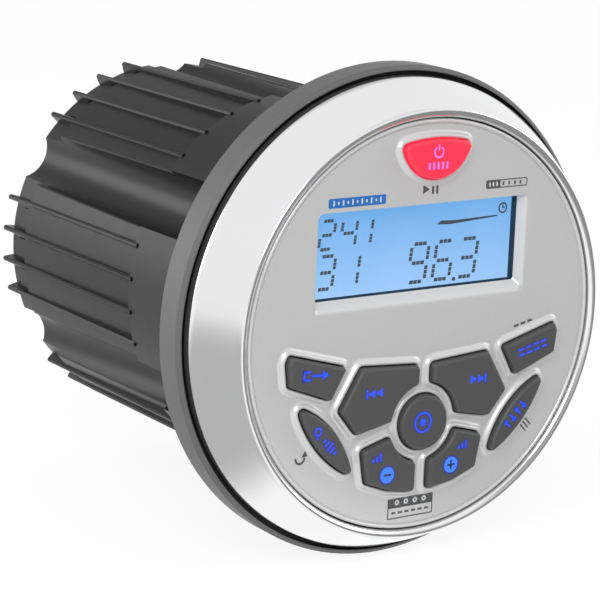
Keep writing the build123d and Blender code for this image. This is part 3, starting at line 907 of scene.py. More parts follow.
@dataclass
class Sketch:
    """Flat shapes in the XY plane, from which signs and prints are put together.

    Its origin goes to centre on the face, and it is turned anticlockwise. Every stroke is drawn
    wider by swell, for a glow behind it.
    """

    centre: Place = (0.0, 0.0)
    turn: float = 0.0
    swell: float = 0.0
    parts: list[Item] = field(default_factory=list)

    @staticmethod
    def _moved(place: Place, turn: float) -> Matrix:
        """A turn and then a move in the drawing's plane."""
        move = Matrix.Translation((place[0] * MM, place[1] * MM, 0))
        return move @ Matrix.Rotation(math.radians(turn), 4, "Z")

    def _put(self, place: Place, turn: float = 0.0) -> "Sketch":
        """Moves and turns the shape that an operator has just added.

        Args:
            place: where it goes in the drawing.
            turn: how far it is turned there.

        Returns:
            This drawing.
        """
        made = bpy.context.active_object
        whole = self._moved(self.centre, self.turn)
        made.matrix_basis = whole @ self._moved(place, turn) @ made.matrix_basis
        self.parts.append(Bench.settle(made))
        return self

    def bar(self, place: Place, length: float, width: float, turn: float = 0.0) -> "Sketch":
        """Adds a straight bar.

        Args:
            place: its middle.
            length: along the drawing's X before it is turned.
            width: across.
            turn: how far it is turned.

        Returns:
            This drawing.
        """
        Bench.clear()
        bpy.ops.mesh.primitive_plane_add(size=1)
        made = bpy.context.active_object
        made.scale = ((length + self.swell) * MM, (width + self.swell) * MM, 1)
        Bench.settle(made)
        return self._put(place, turn)

    def row(self, count: int, start: Place, step: Place, *size: float) -> "Sketch":
        """Adds bars in a row.

        Args:
            count: number of bars.
            start: middle of the first one.
            step: from one bar to the next.
            size: length, width and turn of each bar.

        Returns:
            This drawing.
        """
        for n in range(count):
            self.bar((start[0] + n * step[0], start[1] + n * step[1]), *size)
        return self

    def line(self, start: Place, end: Place, width: float) -> "Sketch":
        """Adds a bar between two points.

        Args:
            start: one end.
            end: the other end.
            width: across.

        Returns:
            This drawing.
        """
        run = (end[0] - start[0], end[1] - start[1])
        turn = math.degrees(math.atan2(run[1], run[0]))
        return self.bar(Outline.between(start, end, 0.5), math.hypot(*run), width, turn)

    def polygon(self, place: Place, radius: float, sides: int, turn: float = 0.0) -> "Sketch":
        """Adds a filled regular polygon, or a disc when it has many sides.

        Args:
            place: its middle.
            radius: to its corners.
            sides: number of sides.
            turn: how far it is turned. At 0 a corner points up.

        Returns:
            This drawing.
        """
        Bench.clear()
        reach = (radius + self.swell / 2) * MM
        bpy.ops.mesh.primitive_circle_add(vertices=sides, radius=reach, fill_type="NGON")
        return self._put(place, turn)

    def arc(self, place: Place, radius: float, width: float, start: float = 0, end: float = 360) -> "Sketch":
        """Adds a ring or a part of one.

        Args:
            place: the ring's middle.
            radius: to the middle of its band.
            width: of its band.
            start: angle from +X at which it starts.
            end: angle at which it ends.

        Returns:
            This drawing.
        """
        half = (width + self.swell) / 2
        inner, outer = radius - half, radius + half
        count = max(8, round((end - start) / 8))
        if end - start >= 360:
            Bench.pick(Bench.sheet("band", [Outline.circle(outer, count), Outline.circle(inner, count)]))
            return self._put(place)
        angles = [math.radians(start + (end - start) * n / count) for n in range(count + 1)]
        there = [(outer * math.cos(angle), outer * math.sin(angle)) for angle in angles]
        back = [(inner * math.cos(angle), inner * math.sin(angle)) for angle in reversed(angles)]
        return self.shape(there + back, place)

    def shape(self, points: Sequence[Place], place: Place = (0.0, 0.0)) -> "Sketch":
        """Adds a filled outline whose origin goes to a place."""
        Bench.pick(Bench.ring("shape", points, filled=True))
        return self._put(place)

    def made(self, name: str, depth: float, thickness: float) -> Item:
        """Joins the shapes into one thin piece on a surface at a depth, facing the front."""
        return Bench.faced(Bench.raised(Bench.joined(name, self.parts), thickness), depth)


# Pieces

@dataclass(frozen=True)
class TrimRing:
    """Plated cone round the face, with a rounded crest, an inner lip and a skirt in the groove."""

    foot_radius: float = 52.3
    foot_front: float = -9.8
    foot_rear: float = -9.45
    foot_edge: float = 0.12
    wall: float = 1.55
    bulge: float = 0.12
    under: float = 46.26
    lip_rear: float = -19.2
    cone_steps: int = 10
    steps: int = 256
    crest: tuple[Place, ...] = (
        (46.95, -21.00), (46.92, -21.15), (46.82, -21.32), (46.66, -21.43), (46.46, -21.46),
    )
    inner: tuple[Place, ...] = (
        (46.10, -21.40), (45.60, -21.14), (45.26, -20.84), (45.13, -20.55), (45.10, -20.00),
    )
    skirt: tuple[Place, ...] = ((52.04, -9.4), (52.28, -9.4), (52.28, -7.7), (52.04, -7.7))

    def profile(self) -> Loop:
        """Section of the ring.

        Returns:
            Closed outline of (radius, depth) points.
        """
        foot, inside = (self.foot_radius, self.foot_front), self.foot_radius - self.wall
        cone = []
        for n in range(1, self.cone_steps):
            share = n / self.cone_steps
            radius, depth = Outline.between(foot, self.crest[0], share)
            cone.append((radius + self.bulge * math.sin(math.pi * share), depth))
        return [
            (inside, self.foot_rear),
            (self.foot_radius - self.foot_edge, self.foot_rear),
            (self.foot_radius, self.foot_rear - self.foot_edge),
            foot,
            *cone,
            *self.crest,
            *self.inner,
            (self.inner[-1][0], self.lip_rear),
            (self.under, self.lip_rear),
            (inside, self.foot_front),
        ]

    def build(self, plating: Material, grey: Material) -> None:
        """Turns the ring and its skirt and dresses them.

        Args:
            plating: finish of the ring.
            grey: finish of the skirt.
        """
        skirt = Bench.smoothed(Bench.spun("ring_skirt", self.skirt, self.steps))
        Bench.done(skirt, STEREO, "black_moulding", grey)
        ring = Bench.smoothed(Bench.spun("plated_ring", self.profile(), self.steps))
        Bench.done(ring, STEREO, "plated_trim", plating, "trim_ring")


@dataclass
class Keys:
    """Soft grey caps, each with a rounded front edge, a flange behind the face and a stem.

    The section gives, from a cap's side to its front, how far the outline moves in and how high
    it stands over the face. What goes beyond even_inset shrinks it towards its middle instead.
    """

    lens_stretch: float = 1.09
    lens_drop: float = 0.35
    power_width: float = 0.955
    power_height: float = 1.05
    flange_width: float = 0.85
    flange_front: float = -2.25
    flange_rear: float = -3.35
    stem_radius: float = 2.0
    stem_edge: float = 0.2
    stem_sides: int = 32
    even_inset: float = 0.35
    section: tuple[Place, ...] = (
        (0.0, 1.40), (0.04, 1.68), (0.16, 1.92), (0.35, 2.10), (0.62, 2.19), (0.80, 2.20), (0.96, 2.20),
    )
    outlines: dict[str, Loop] = field(default_factory=dict)

    def __post_init__(self) -> None:
        """Finds the outline of every key."""
        buttons = [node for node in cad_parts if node.endswith("_button")]
        self.outlines.update((node, self.outline(node)) for node in buttons)

    def outline(self, node: str) -> Loop:
        """Outline of a key. The lens-shaped keys are made longer and the power key taller.

        Args:
            node: the key's node.

        Returns:
            The outline.
        """
        loop = Outline.of_key(node)
        if node in ("band_button", "sound_button"):
            return Outline.even(Outline.stretched(loop, self.lens_stretch, self.lens_drop))
        if node == "power_button":
            right, bottom = max(x for x, z in loop), min(z for x, z in loop)
            wide, high = self.power_width, self.power_height
            return [(right - (right - x) * wide, bottom + (z - bottom) * high) for x, z in loop]
        return loop

    def cap(self, node: str) -> Item:
        """Models one key.

        Args:
            node: the CAD node that it stands for.

        Returns:
            The key, facing the front.
        """
        loop = self.outlines[node]
        wide = Outline.grown(loop, self.flange_width)
        rings = []
        for inset, height in reversed(self.section):
            evenly = min(inset, self.even_inset)
            rings.append((Outline.shrunk(Outline.grown(loop, -evenly), inset - evenly), height))
        rings += [(loop, self.flange_front), (wide, self.flange_front), (wide, self.flange_rear)]
        cap = Bench.lofted("cap", rings, closed=False)
        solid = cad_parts[node].data.vertices
        rear = max(vertex.co.y for vertex in solid)
        tip = [vertex.co for vertex in solid if rear - vertex.co.y < 0.01 * MM]
        middle = sum(tip, Vector()) / len(tip)
        length = rear / MM - FACE_FRONT + self.flange_rear
        Bench.clear()
        bpy.ops.mesh.primitive_cylinder_add(
            vertices=self.stem_sides,
            radius=self.stem_radius * MM,
            depth=length * MM,
            location=(middle.x, middle.z, (self.flange_rear - length / 2) * MM),
        )
        stem = Bench.named("stem")
        bevel = stem.modifiers.new("edge", "BEVEL")
        bevel.width, bevel.segments = self.stem_edge * MM, 2
        bpy.ops.object.modifier_apply(modifier="edge")
        return Bench.faced(Bench.joined(node.replace("_button", "_cap"), [cap, stem]), FACE_FRONT)

    def build(self, grey: Material, red: Material) -> None:
        """Models and dresses the keys.

        Args:
            grey: finish of the caps.
            red: finish of the power key.
        """
        for node in self.outlines:
            slot, finish = ("key_red", red) if node == "power_button" else ("key_grey", grey)
            cap = Bench.smoothed(self.cap(node))
            Bench.done(cap, node.replace("_button", "_key"), slot, finish, node)


@dataclass
class Face:
    """Silver moulding: soft ridges round the keys, a sloped window and a rolled edge.

    The ridge is given as distance from a key's outline and height, the window's section as share
    of the way from the outer to the inner window and height, and the edge as radius and depth.
    """

    keys: Keys
    thickness: float = 1.9
    flat_radius: float = 43.5
    gap: float = 0.36
    steps: int = 192
    crease: float = 35
    ridge: tuple[Place, ...] = (
        (0.28, -1.40), (0.28, 0.50), (0.33, 0.70), (0.45, 0.81), (0.62, 0.84), (0.84, 0.80),
        (1.02, 0.67), (1.20, 0.43), (1.42, 0.19), (1.66, 0.06), (1.95, -0.04),
    )
    outer_window: Sides = (-28.50, 26.60, 4.85, 26.60, 1.4)
    inner_window: Sides = (-28.35, 24.95, 7.55, 26.45, 0.6)
    window_section: tuple[Place, ...] = (
        (-0.22, 0.00), (-0.10, -0.01), (0.02, -0.04), (0.14, -0.11), (0.27, -0.24), (0.42, -0.48),
        (0.60, -0.88), (0.80, -1.38), (1.00, -1.90),
    )
    edge: tuple[Place, ...] = (
        (43.50, -20.30), (43.60, -20.30), (43.68, -20.15), (43.84, -20.13), (43.92, -20.36),
        (44.04, -20.57), (44.26, -20.70), (44.48, -20.68), (44.67, -20.54), (44.79, -20.32),
        (44.84, -20.05), (44.84, -18.40), (43.50, -18.40),
    )

    def window(self, share: float) -> Loop:
        """Outline of the window at a share of the way from the outer to the inner one."""
        return Outline.rectangle(*Outline.between(self.outer_window, self.inner_window, share))

    def build(self, paint: Material) -> None:
        """Models the face and dresses it.

        Args:
            paint: its finish.
        """
        loops = self.keys.outlines.values()
        holes = [Outline.grown(loop, self.gap) for loop in loops]
        opening = self.window(self.window_section[0][0])
        rim = Outline.circle(self.flat_radius, self.steps)
        parts = [Bench.slab("plate", [rim, opening, *holes], -self.thickness, 0)]
        for loop in loops:
            rings = [(Outline.grown(loop, out), height) for out, height in self.ridge]
            parts.append(Bench.lofted("ridge", rings, closed=True))
        rings = [(self.window(share), height) for share, height in self.window_section]
        parts.append(Bench.lofted("window", [*rings, (opening, -self.thickness)], closed=True))
        for part in parts:
            Bench.faced(part, FACE_FRONT)
        parts.append(Bench.spun("edge", self.edge, self.steps))
        face = Bench.smoothed(Bench.joined("silver_face_moulding", parts), self.crease)
        Bench.done(face, STEREO, "silver_face", paint, "faceplate")


@dataclass(frozen=True)
class WindowParts:
    """Seal behind the window and the frame that holds the glass.

    Each outline is its left, right, bottom and top, and the radius of its corners.
    """

    seal_outer: Sides = (-29.0, 29.0, 4.0, 28.0, 0.4)
    seal_opening: Sides = (-28.55, 26.4, 6.5, 26.9, 0.2)
    seal_rear: float = -18.1
    seal_thickness: float = 0.3
    frame_outer: Sides = (-29.4, 29.4, 3.5, 28.5, 0.5)
    frame_opening: Sides = (-28.2, 26.6, 6.5, 27.3, 0.3)
    frame_inside: Sides = (-28.8, 28.8, 4.1, 27.9, 0.2)
    frame_wall: float = 0.6
    frame_depth: float = 6.6

    def build(self, rubber: Material, tin: Material) -> None:
        """Models and dresses both.

        Args:
            rubber: finish of the seal.
            tin: finish of the frame.
        """
        rings = [Outline.rectangle(*sides) for sides in (self.seal_outer, self.seal_opening)]
        seal = Bench.faced(Bench.slab("window_seal", rings, 0, self.seal_thickness), self.seal_rear)
        Bench.done(seal, STEREO, "black_rubber", rubber, "lens_seal")
        outlines = (self.frame_outer, self.frame_opening, self.frame_inside)
        outer, opening, inside = (Outline.rectangle(*sides) for sides in outlines)
        front = Bench.slab("front", [outer, opening], 0, self.frame_wall)
        walls = Bench.slab("walls", [outer, inside], -self.frame_depth, 0)
        holder = Bench.faced(Bench.joined("display_holder", [front, walls]), GLASS_FRONT)
        Bench.done(holder, STEREO, "tin_plate", tin, "display_frame")


class Legend(Enum):
    """Signs on the keys, none of them a word."""

    POWER = "power"
    SOURCE = "source"
    PREVIOUS = "previous"
    NEXT = "next"
    MODE = "mode"
    BAND = "band"
    SOUND = "sound"
    ENTER = "enter"
    VOLUME_DOWN = "volume_down"
    VOLUME_UP = "volume_up"


@dataclass(frozen=True)
class Legends:
    """Backlit signs on the key caps, each with a dimmer glow round its strokes."""

    thin: float = 0.34
    stroke: float = 0.42
    thick: float = 0.44
    glow_swell: float = 0.34
    glow_height: float = 0.015
    sign_height: float = 0.03
    disc_radius: float = 1.8
    disc_glow_radius: float = 2.15
    disc_sides: int = 40

    @staticmethod
    def on_volume(side: int, swell: float = 0.0) -> Sketch:
        """A drawing on the left (-1) or right (1) volume key, from the middle of its disc."""
        return Sketch((8.5 * side - 1.0, -31.3), 0, swell)

    def draw(self, legend: Legend, swell: float) -> Sketch:
        """Draws one sign.

        Args:
            legend: which one.
            swell: how much wider its strokes are drawn.

        Returns:
            The drawing.
        """
        if legend is Legend.POWER:
            sketch = Sketch((0.0, 38.1), 0, swell).arc((0, 0), 1.15, self.thin, 125, 415)
            sketch.bar((0, 0.95), 1.3, self.thin, 90)
            return sketch.row(5, (-2.3, -2.95), (1.15, 0), 1.5, 0.48, 90)
        if legend is Legend.SOURCE:
            sketch = Sketch((-29.0, -7.0), -3, swell)
            sketch.row(2, (-2.2, 0.85), (0, -1.7), 1.9, self.stroke).bar((-2.95, 0), 2.1, self.stroke, 90)
            return sketch.bar((0.5, 0), 3.0, 0.46).polygon((2.2, 0), 1.1, 3, -90)
        if legend in (Legend.PREVIOUS, Legend.NEXT):
            side = 1 if legend is Legend.NEXT else -1
            sketch = Sketch((13.75 * side, -12.7), 0, swell)
            for shift in (-1.25, 0.75):
                tail, tip = side * (shift - 0.85), side * (shift + 0.95)
                sketch.shape([(tail, 1.0), (tail, -1.0), (tip, 0)])
            return sketch.bar((side * 1.95, 0), 2.0, self.stroke, 90)
        if legend is Legend.MODE:
            sketch = Sketch((28.6, -7.4), 13, swell)
            for height in (0.62, -0.62):
                sketch.row(4, (-3.2, height), (2.1, 0), 1.5, self.stroke)
            return sketch
        if legend is Legend.BAND:
            sketch = Sketch((-25.7, -21.9), -48, swell)
            sketch.arc((-3.4, 0.1), 0.8, 0.36).line((-2.85, -0.5), (-2.2, -1.15), 0.4)
            for n, height in enumerate((0.8, 1.6, 2.2, 1.6, 0.8)):
                sketch.bar((-0.6 + n, 0), height, self.stroke, 90)
            return sketch
        if legend is Legend.SOUND:
            sketch = Sketch((24.75, -22.05), 46, swell)
            for shift, height in ((-2.9, 0.5), (-1.0, -0.5), (0.9, 0.4), (2.8, -0.4)):
                sketch.bar((shift, 0), 2.1, self.thin, 90).polygon((shift, height), 0.52, 20)
            return sketch
        if legend is Legend.ENTER:
            return Sketch((-0.6, -20.7), 0, swell).arc((0, 0), 2.1, 0.45).polygon((0, 0), 0.85, 24)
        side = 1 if legend is Legend.VOLUME_UP else -1
        sketch = self.on_volume(side, swell)
        for n, height in enumerate((0.7, 1.25, 1.8)):
            sketch.bar((side * 2.9 + (n - 1) * 0.95, 3.3 + height / 2), height, self.thick, 90)
        return sketch

    def build(self, blue: Material, pale: Material, halo: Material, violet: Material, dark: Material) -> None:
        """Makes every sign and puts it on its key.

        Args:
            blue: finish of the signs on grey keys.
            pale: finish of the discs on the volume keys.
            halo: finish of the glow round them.
            violet: finish of the sign on the red key.
            dark: finish of the plus and minus.
        """
        for legend in Legend:
            name, body = legend.value, f"{legend.value}_key"
            slot, finish = ("key_red", violet) if legend is Legend.POWER else ("key_grey", blue)
            if legend is not Legend.POWER:
                glow = self.draw(legend, self.glow_swell).made(f"{name}_glow", KEY_FRONT, self.glow_height)
                Bench.done(glow, body, slot, halo)
            sign = self.draw(legend, 0).made(f"{name}_sign", KEY_FRONT, self.sign_height)
            Bench.done(sign, body, slot, finish)
        for side, name in ((-1, "volume_down"), (1, "volume_up")):
            ring = self.on_volume(side).polygon((0, 0), self.disc_glow_radius, self.disc_sides)
            disc = self.on_volume(side).polygon((0, 0), self.disc_radius, self.disc_sides)
            mark = self.on_volume(side).bar((0, 0), 2.0, self.thick)
            if side > 0:
                mark.row(2, (0, 0.61), (0, -1.22), 0.78, self.thick, 90)
            for sketch, part, depth, height, finish in (
                (ring, "ring_glow", KEY_FRONT, self.glow_height, halo),
                (disc, "disc", KEY_FRONT, self.sign_height, pale),
                (mark, "mark", KEY_FRONT - self.sign_height, self.glow_height, dark),
            ):
                Bench.done(sketch.made(f"{name}_{part}", depth, height), f"{name}_key", "key_grey", finish)


class Segment(Enum):
    """Strokes of one character on the display."""

    TOP = "top"
    MIDDLE = "middle"
    BOTTOM = "bottom"
    UPPER_LEFT = "upper_left"
    UPPER_RIGHT = "upper_right"
    LOWER_LEFT = "lower_left"
    LOWER_RIGHT = "lower_right"


DIGITS = {
    "1": "UPPER_RIGHT LOWER_RIGHT",
    "2": "TOP UPPER_RIGHT MIDDLE LOWER_LEFT BOTTOM",
    "3": "TOP UPPER_RIGHT MIDDLE LOWER_RIGHT BOTTOM",
    "4": "UPPER_LEFT UPPER_RIGHT MIDDLE LOWER_RIGHT",
    "6": "TOP UPPER_LEFT MIDDLE LOWER_LEFT LOWER_RIGHT BOTTOM",
    "9": "TOP UPPER_LEFT UPPER_RIGHT MIDDLE LOWER_RIGHT BOTTOM",
}


@dataclass(frozen=True)
class Digit:
    """One plain digit on the display, built of short dashes and leaning to the right."""

    figure: str
    corner: Place
    width: float
    height: float
    stroke: float
    lean: float = 0.12
    dash: float = 0.86
    gap_share: float = 0.75
    dash_share: float = 1.3

    def leaned(self, point: Place) -> Place:
        """The place on the display of a point in the upright digit."""
        return self.corner[0] + point[0] + point[1] * self.lean, self.corner[1] + point[1]

    def dashes(self, sketch: Sketch) -> None:
        """Adds the digit's dashes to a drawing.

        Args:
            sketch: the drawing.
        """
        gap, half, half_stroke = self.stroke * self.gap_share, self.height / 2, self.stroke / 2
        runs = {
            Segment.TOP: ((gap, self.height), (self.width - gap, self.height)),
            Segment.MIDDLE: ((gap, half), (self.width - gap, half)),
            Segment.BOTTOM: ((gap, 0), (self.width - gap, 0)),
            Segment.UPPER_LEFT: ((0, half + gap), (0, self.height - gap)),
            Segment.UPPER_RIGHT: ((self.width, half + gap), (self.width, self.height - gap)),
            Segment.LOWER_LEFT: ((0, gap), (0, half - gap)),
            Segment.LOWER_RIGHT: ((self.width, gap), (self.width, half - gap)),
        }
        for name in DIGITS[self.figure].split():
            start, end = (self.leaned(point) for point in runs[Segment[name]])
            pieces = max(3, round(math.dist(start, end) / (self.stroke * self.dash_share)))
            upright = abs(end[1] - start[1]) > abs(end[0] - start[0])
            x, y = (half_stroke, 0) if upright else (half_stroke * self.lean, half_stroke)
            for n in range(pieces):
                a, b = Outline.between(start, end, n / pieces)
                c, d = Outline.between(start, end, (n + self.dash) / pieces)
                sketch.shape([(a - x, b - y), (a + x, b + y), (c + x, d + y), (c - x, d - y)])


@dataclass(frozen=True)
class Display:
    """Lit glass with plain digits, a level wedge and a small clock sign."""

    digits: tuple[Digit, ...] = (
        Digit("2", (-25.6, 18.1), 3.5, 6.0, 0.70),
        Digit("4", (-20.2, 18.1), 3.7, 6.0, 0.70),
        Digit("1", (-16.2, 18.1), 3.7, 6.0, 0.70),
        Digit("3", (-25.8, 9.6), 3.9, 7.0, 0.74),
        Digit("1", (-19.5, 9.6), 3.9, 7.0, 0.74),
        Digit("9", (-2.3, 8.9), 4.5, 8.3, 0.80),
        Digit("6", (4.3, 8.9), 4.5, 8.3, 0.80),
        Digit("3", (10.9, 8.9), 4.5, 8.3, 0.80),
    )
    decimal_point: Place = (10.2, 8.6)
    wedge: tuple[Place, ...] = (
        (4.9, 21.05), (8.2, 20.8), (21.3, 21.55), (21.3, 21.85), (9.6, 21.6), (6.1, 21.8),
    )
    clock: Place = (22.7, 23.3)

    def build(self, ink: Material, glass: Material) -> None:
        """Makes the figures and dresses the glass.

        Args:
            ink: finish of the figures.
            glass: finish of the lit glass.
        """
        figures = Sketch()
        for digit in self.digits:
            digit.dashes(figures)
        figures.polygon(self.decimal_point, 0.46, 12)
        marks = Sketch().shape(self.wedge)
        clock = Sketch(self.clock, parts=marks.parts).arc((0, 0), 1.05, 0.34)
        clock.line((0, 0), (0, 0.8), 0.3).line((0, 0), (0.6, 0), 0.3)
        for sketch, name in ((figures, "display_figures"), (clock, "display_marks")):
            Bench.done(sketch.made(name, GLASS_FRONT, INK), STEREO, "display_blue", ink)
        Bench.dress(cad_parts["display_glass"], glass)


@dataclass(frozen=True)
class Prints:
    """Marks printed on the painted face, none of them a word.

    A panel or frame is its left, right, bottom and top, and the radius of its corners.
    """

    play: tuple[Place, ...] = ((-2.05, 30.8), (-2.05, 28.8), (-0.3, 29.8))
    arrowhead: tuple[Place, ...] = ((-30.45, -25.15), (-28.85, -24.95), (-29.55, -23.75))
    box_head: tuple[Sides, ...] = ((-7.4, 4.7, -39.75, -37.75, 0.25),)
    box_frame: tuple[Sides, ...] = ((-7.4, 4.7, -42.4, -39.7, 0.25), (-7.12, 4.42, -42.12, -39.95, 0.1))
    badge: tuple[Sides, ...] = ((14.7, 26.0, 28.65, 30.55, 0.5), (18.6, 25.75, 28.9, 30.3, 0.3))
    label: tuple[Sides, ...] = ((-26.1, -11.6, 27.55, 29.6, 0.35),)

    @staticmethod
    def lay(sketch: Sketch, name: str, ink: Material, layer: int = 0) -> None:
        """Prints a drawing on the face, or on an earlier print where its layer is 1."""
        printed = sketch.made(name, FACE_FRONT - layer * INK, INK)
        Bench.done(printed, STEREO, "silver_face", ink)

    @staticmethod
    def panel(outlines: Sequence[Sides]) -> Item:
        """A filled panel, or a frame where a second outline is its hole.

        Args:
            outlines: the panel's outline and its hole's.

        Returns:
            The flat piece.
        """
        loops = [Outline.rectangle(*sides) for sides in outlines]
        return Bench.sheet("frame", loops) if len(loops) > 1 else Bench.ring("panel", loops[0], filled=True)

    def build(self, grey: Material, blue: Material, white: Material) -> None:
        """Makes the marks.

        Args:
            grey: ink of most marks.
            blue: ink of the label above the display.
            white: ink of what is printed on other prints.
        """
        marks = Sketch().shape(self.play).row(2, (0.55, 29.8), (1.1, 0), 2.2, 0.6, 90)
        marks.arc((-30.75, -25.35), 1.1, 0.5, 170, 370).shape(self.arrowhead)
        marks.row(3, (25.29, -2.55), (1.85, 0.4), 1.3, 0.55, 12)
        marks.row(3, (28.9, -26.3), (0.62, 0.68), 2.3, 0.34, -47)
        self.lay(marks, "face_marks", grey)

        box = Sketch((-1.35, -40.1), parts=[self.panel(self.box_head), self.panel(self.box_frame)])
        self.lay(box.row(6, (-4.4, -0.95), (1.76, 0), 1.1, 0.5), "rating_box", grey)
        rings = Sketch((-1.35, -38.75))
        for n in range(4):
            rings.arc((-3.6 + n * 2.4, 0), 0.42, 0.32)
        self.lay(rings, "rating_rings", white, 1)

        badge = Sketch((20.35, 29.6), parts=[self.panel(self.badge)])
        self.lay(badge.row(4, (-0.9, 0), (1.55, 0), 0.8, 0.5, 90), "grey_badge", grey)
        self.lay(Sketch(parts=[self.panel(self.label)]), "blue_label", blue)
        waves = Sketch((-18.85, 28.57))
        for n in range(-5, 6):
            waves.bar((n * 1.18, 0), 1.15 if n % 2 else 0.6, 0.34, 90)
        self.lay(waves, "label_waves", white, 1)
        bars = Sketch((16.7, 29.6)).row(3, (-0.95, 0), (0.95, 0), 0.9, 0.36, 90)
        self.lay(bars, "badge_bars", white, 1)


@dataclass(frozen=True)
class Body:
    """The CAD nodes that keep their shape, with the finish of each."""

    moulded: Finish = Finish(
        "black_moulding", (0.0095, 0.0095, 0.0099), 0.34, mottle=0.2, specular=0.3, grain_height=0.02
    )
    steel: Finish = Finish("zinc_steel", (0.55, 0.55, 0.57), 0.3, 1.0)
    silicone: Finish = Finish("grey_silicone", (0.38, 0.39, 0.40), 0.6)
    board: Finish = Finish("board_green", (0.02, 0.13, 0.05), 0.3, mottle=0.2, coat=0.3)
    package: Finish = Finish("black_package", (0.02, 0.02, 0.02), 0.5)
    white: Finish = Finish("white_plastic", (0.72, 0.72, 0.68), 0.4)
    aluminium: Finish = Finish("aluminium", (0.66, 0.67, 0.68), 0.35, 1.0)
    brass: Finish = Finish("brass", (0.66, 0.46, 0.18), 0.28, 1.0)
    nickel: Finish = Finish("nickel", (0.62, 0.60, 0.57), 0.22, 1.0)
    copper: Finish = Finish("copper", (0.55, 0.22, 0.09), 0.3, 1.0)
    gloss: Finish = Finish("black_plastic", (0.02, 0.02, 0.022), 0.3)
    lamp: Finish = Finish("lamp_resin", (0.70, 0.72, 0.78), 0.2)

    def build(self) -> None:
        """Dresses the nodes."""
        for finish, names in (
            (self.moulded, "housing rear_cover"),
            (FlangeFinish(), "front_chassis"),
            (self.steel, "face_screws housing_screws cover_screws tray_screws main_board_screws"),
            (TIN, "board_tray tuner_module wireless_module"),
            (RUBBER, "mounting_gasket housing_seal cover_seal"),
            (self.silicone, "key_mat"),
            (self.board, "key_board main_board"),
            (self.package, "controller_chip amplifier_chip"),
            (self.white, "key_header main_header ribbon_cable display_backlight"),
            (self.aluminium, "heat_sink"),
            (self.brass, "mounting_inserts board_pillars"),
            (self.nickel, "aerial_socket"),
            (self.copper, "coils"),
            (self.gloss, "cable_gland gland_nut capacitors"),
            (self.lamp, "key_lamps"),
            (ClearLens(), "display_lens"),
        ):
            material = finish.made()
            for name in names.split():
                Bench.dress(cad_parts[name], material)


def towards(azimuth: float, elevation: float) -> Vector:
    """The direction of a place round the stereo, azimuth 0 being straight in front."""
    around, above = math.radians(azimuth), math.radians(elevation)
    return Vector((math.sin(around) * math.cos(above), -math.cos(around) * math.cos(above), math.sin(above)))


@dataclass(frozen=True)
class Shade:
    """A darker part of the surroundings, which fades between two angles and only reflections show."""

    azimuth: float
    elevation: float
    level: float
    inner: float
    outer: float


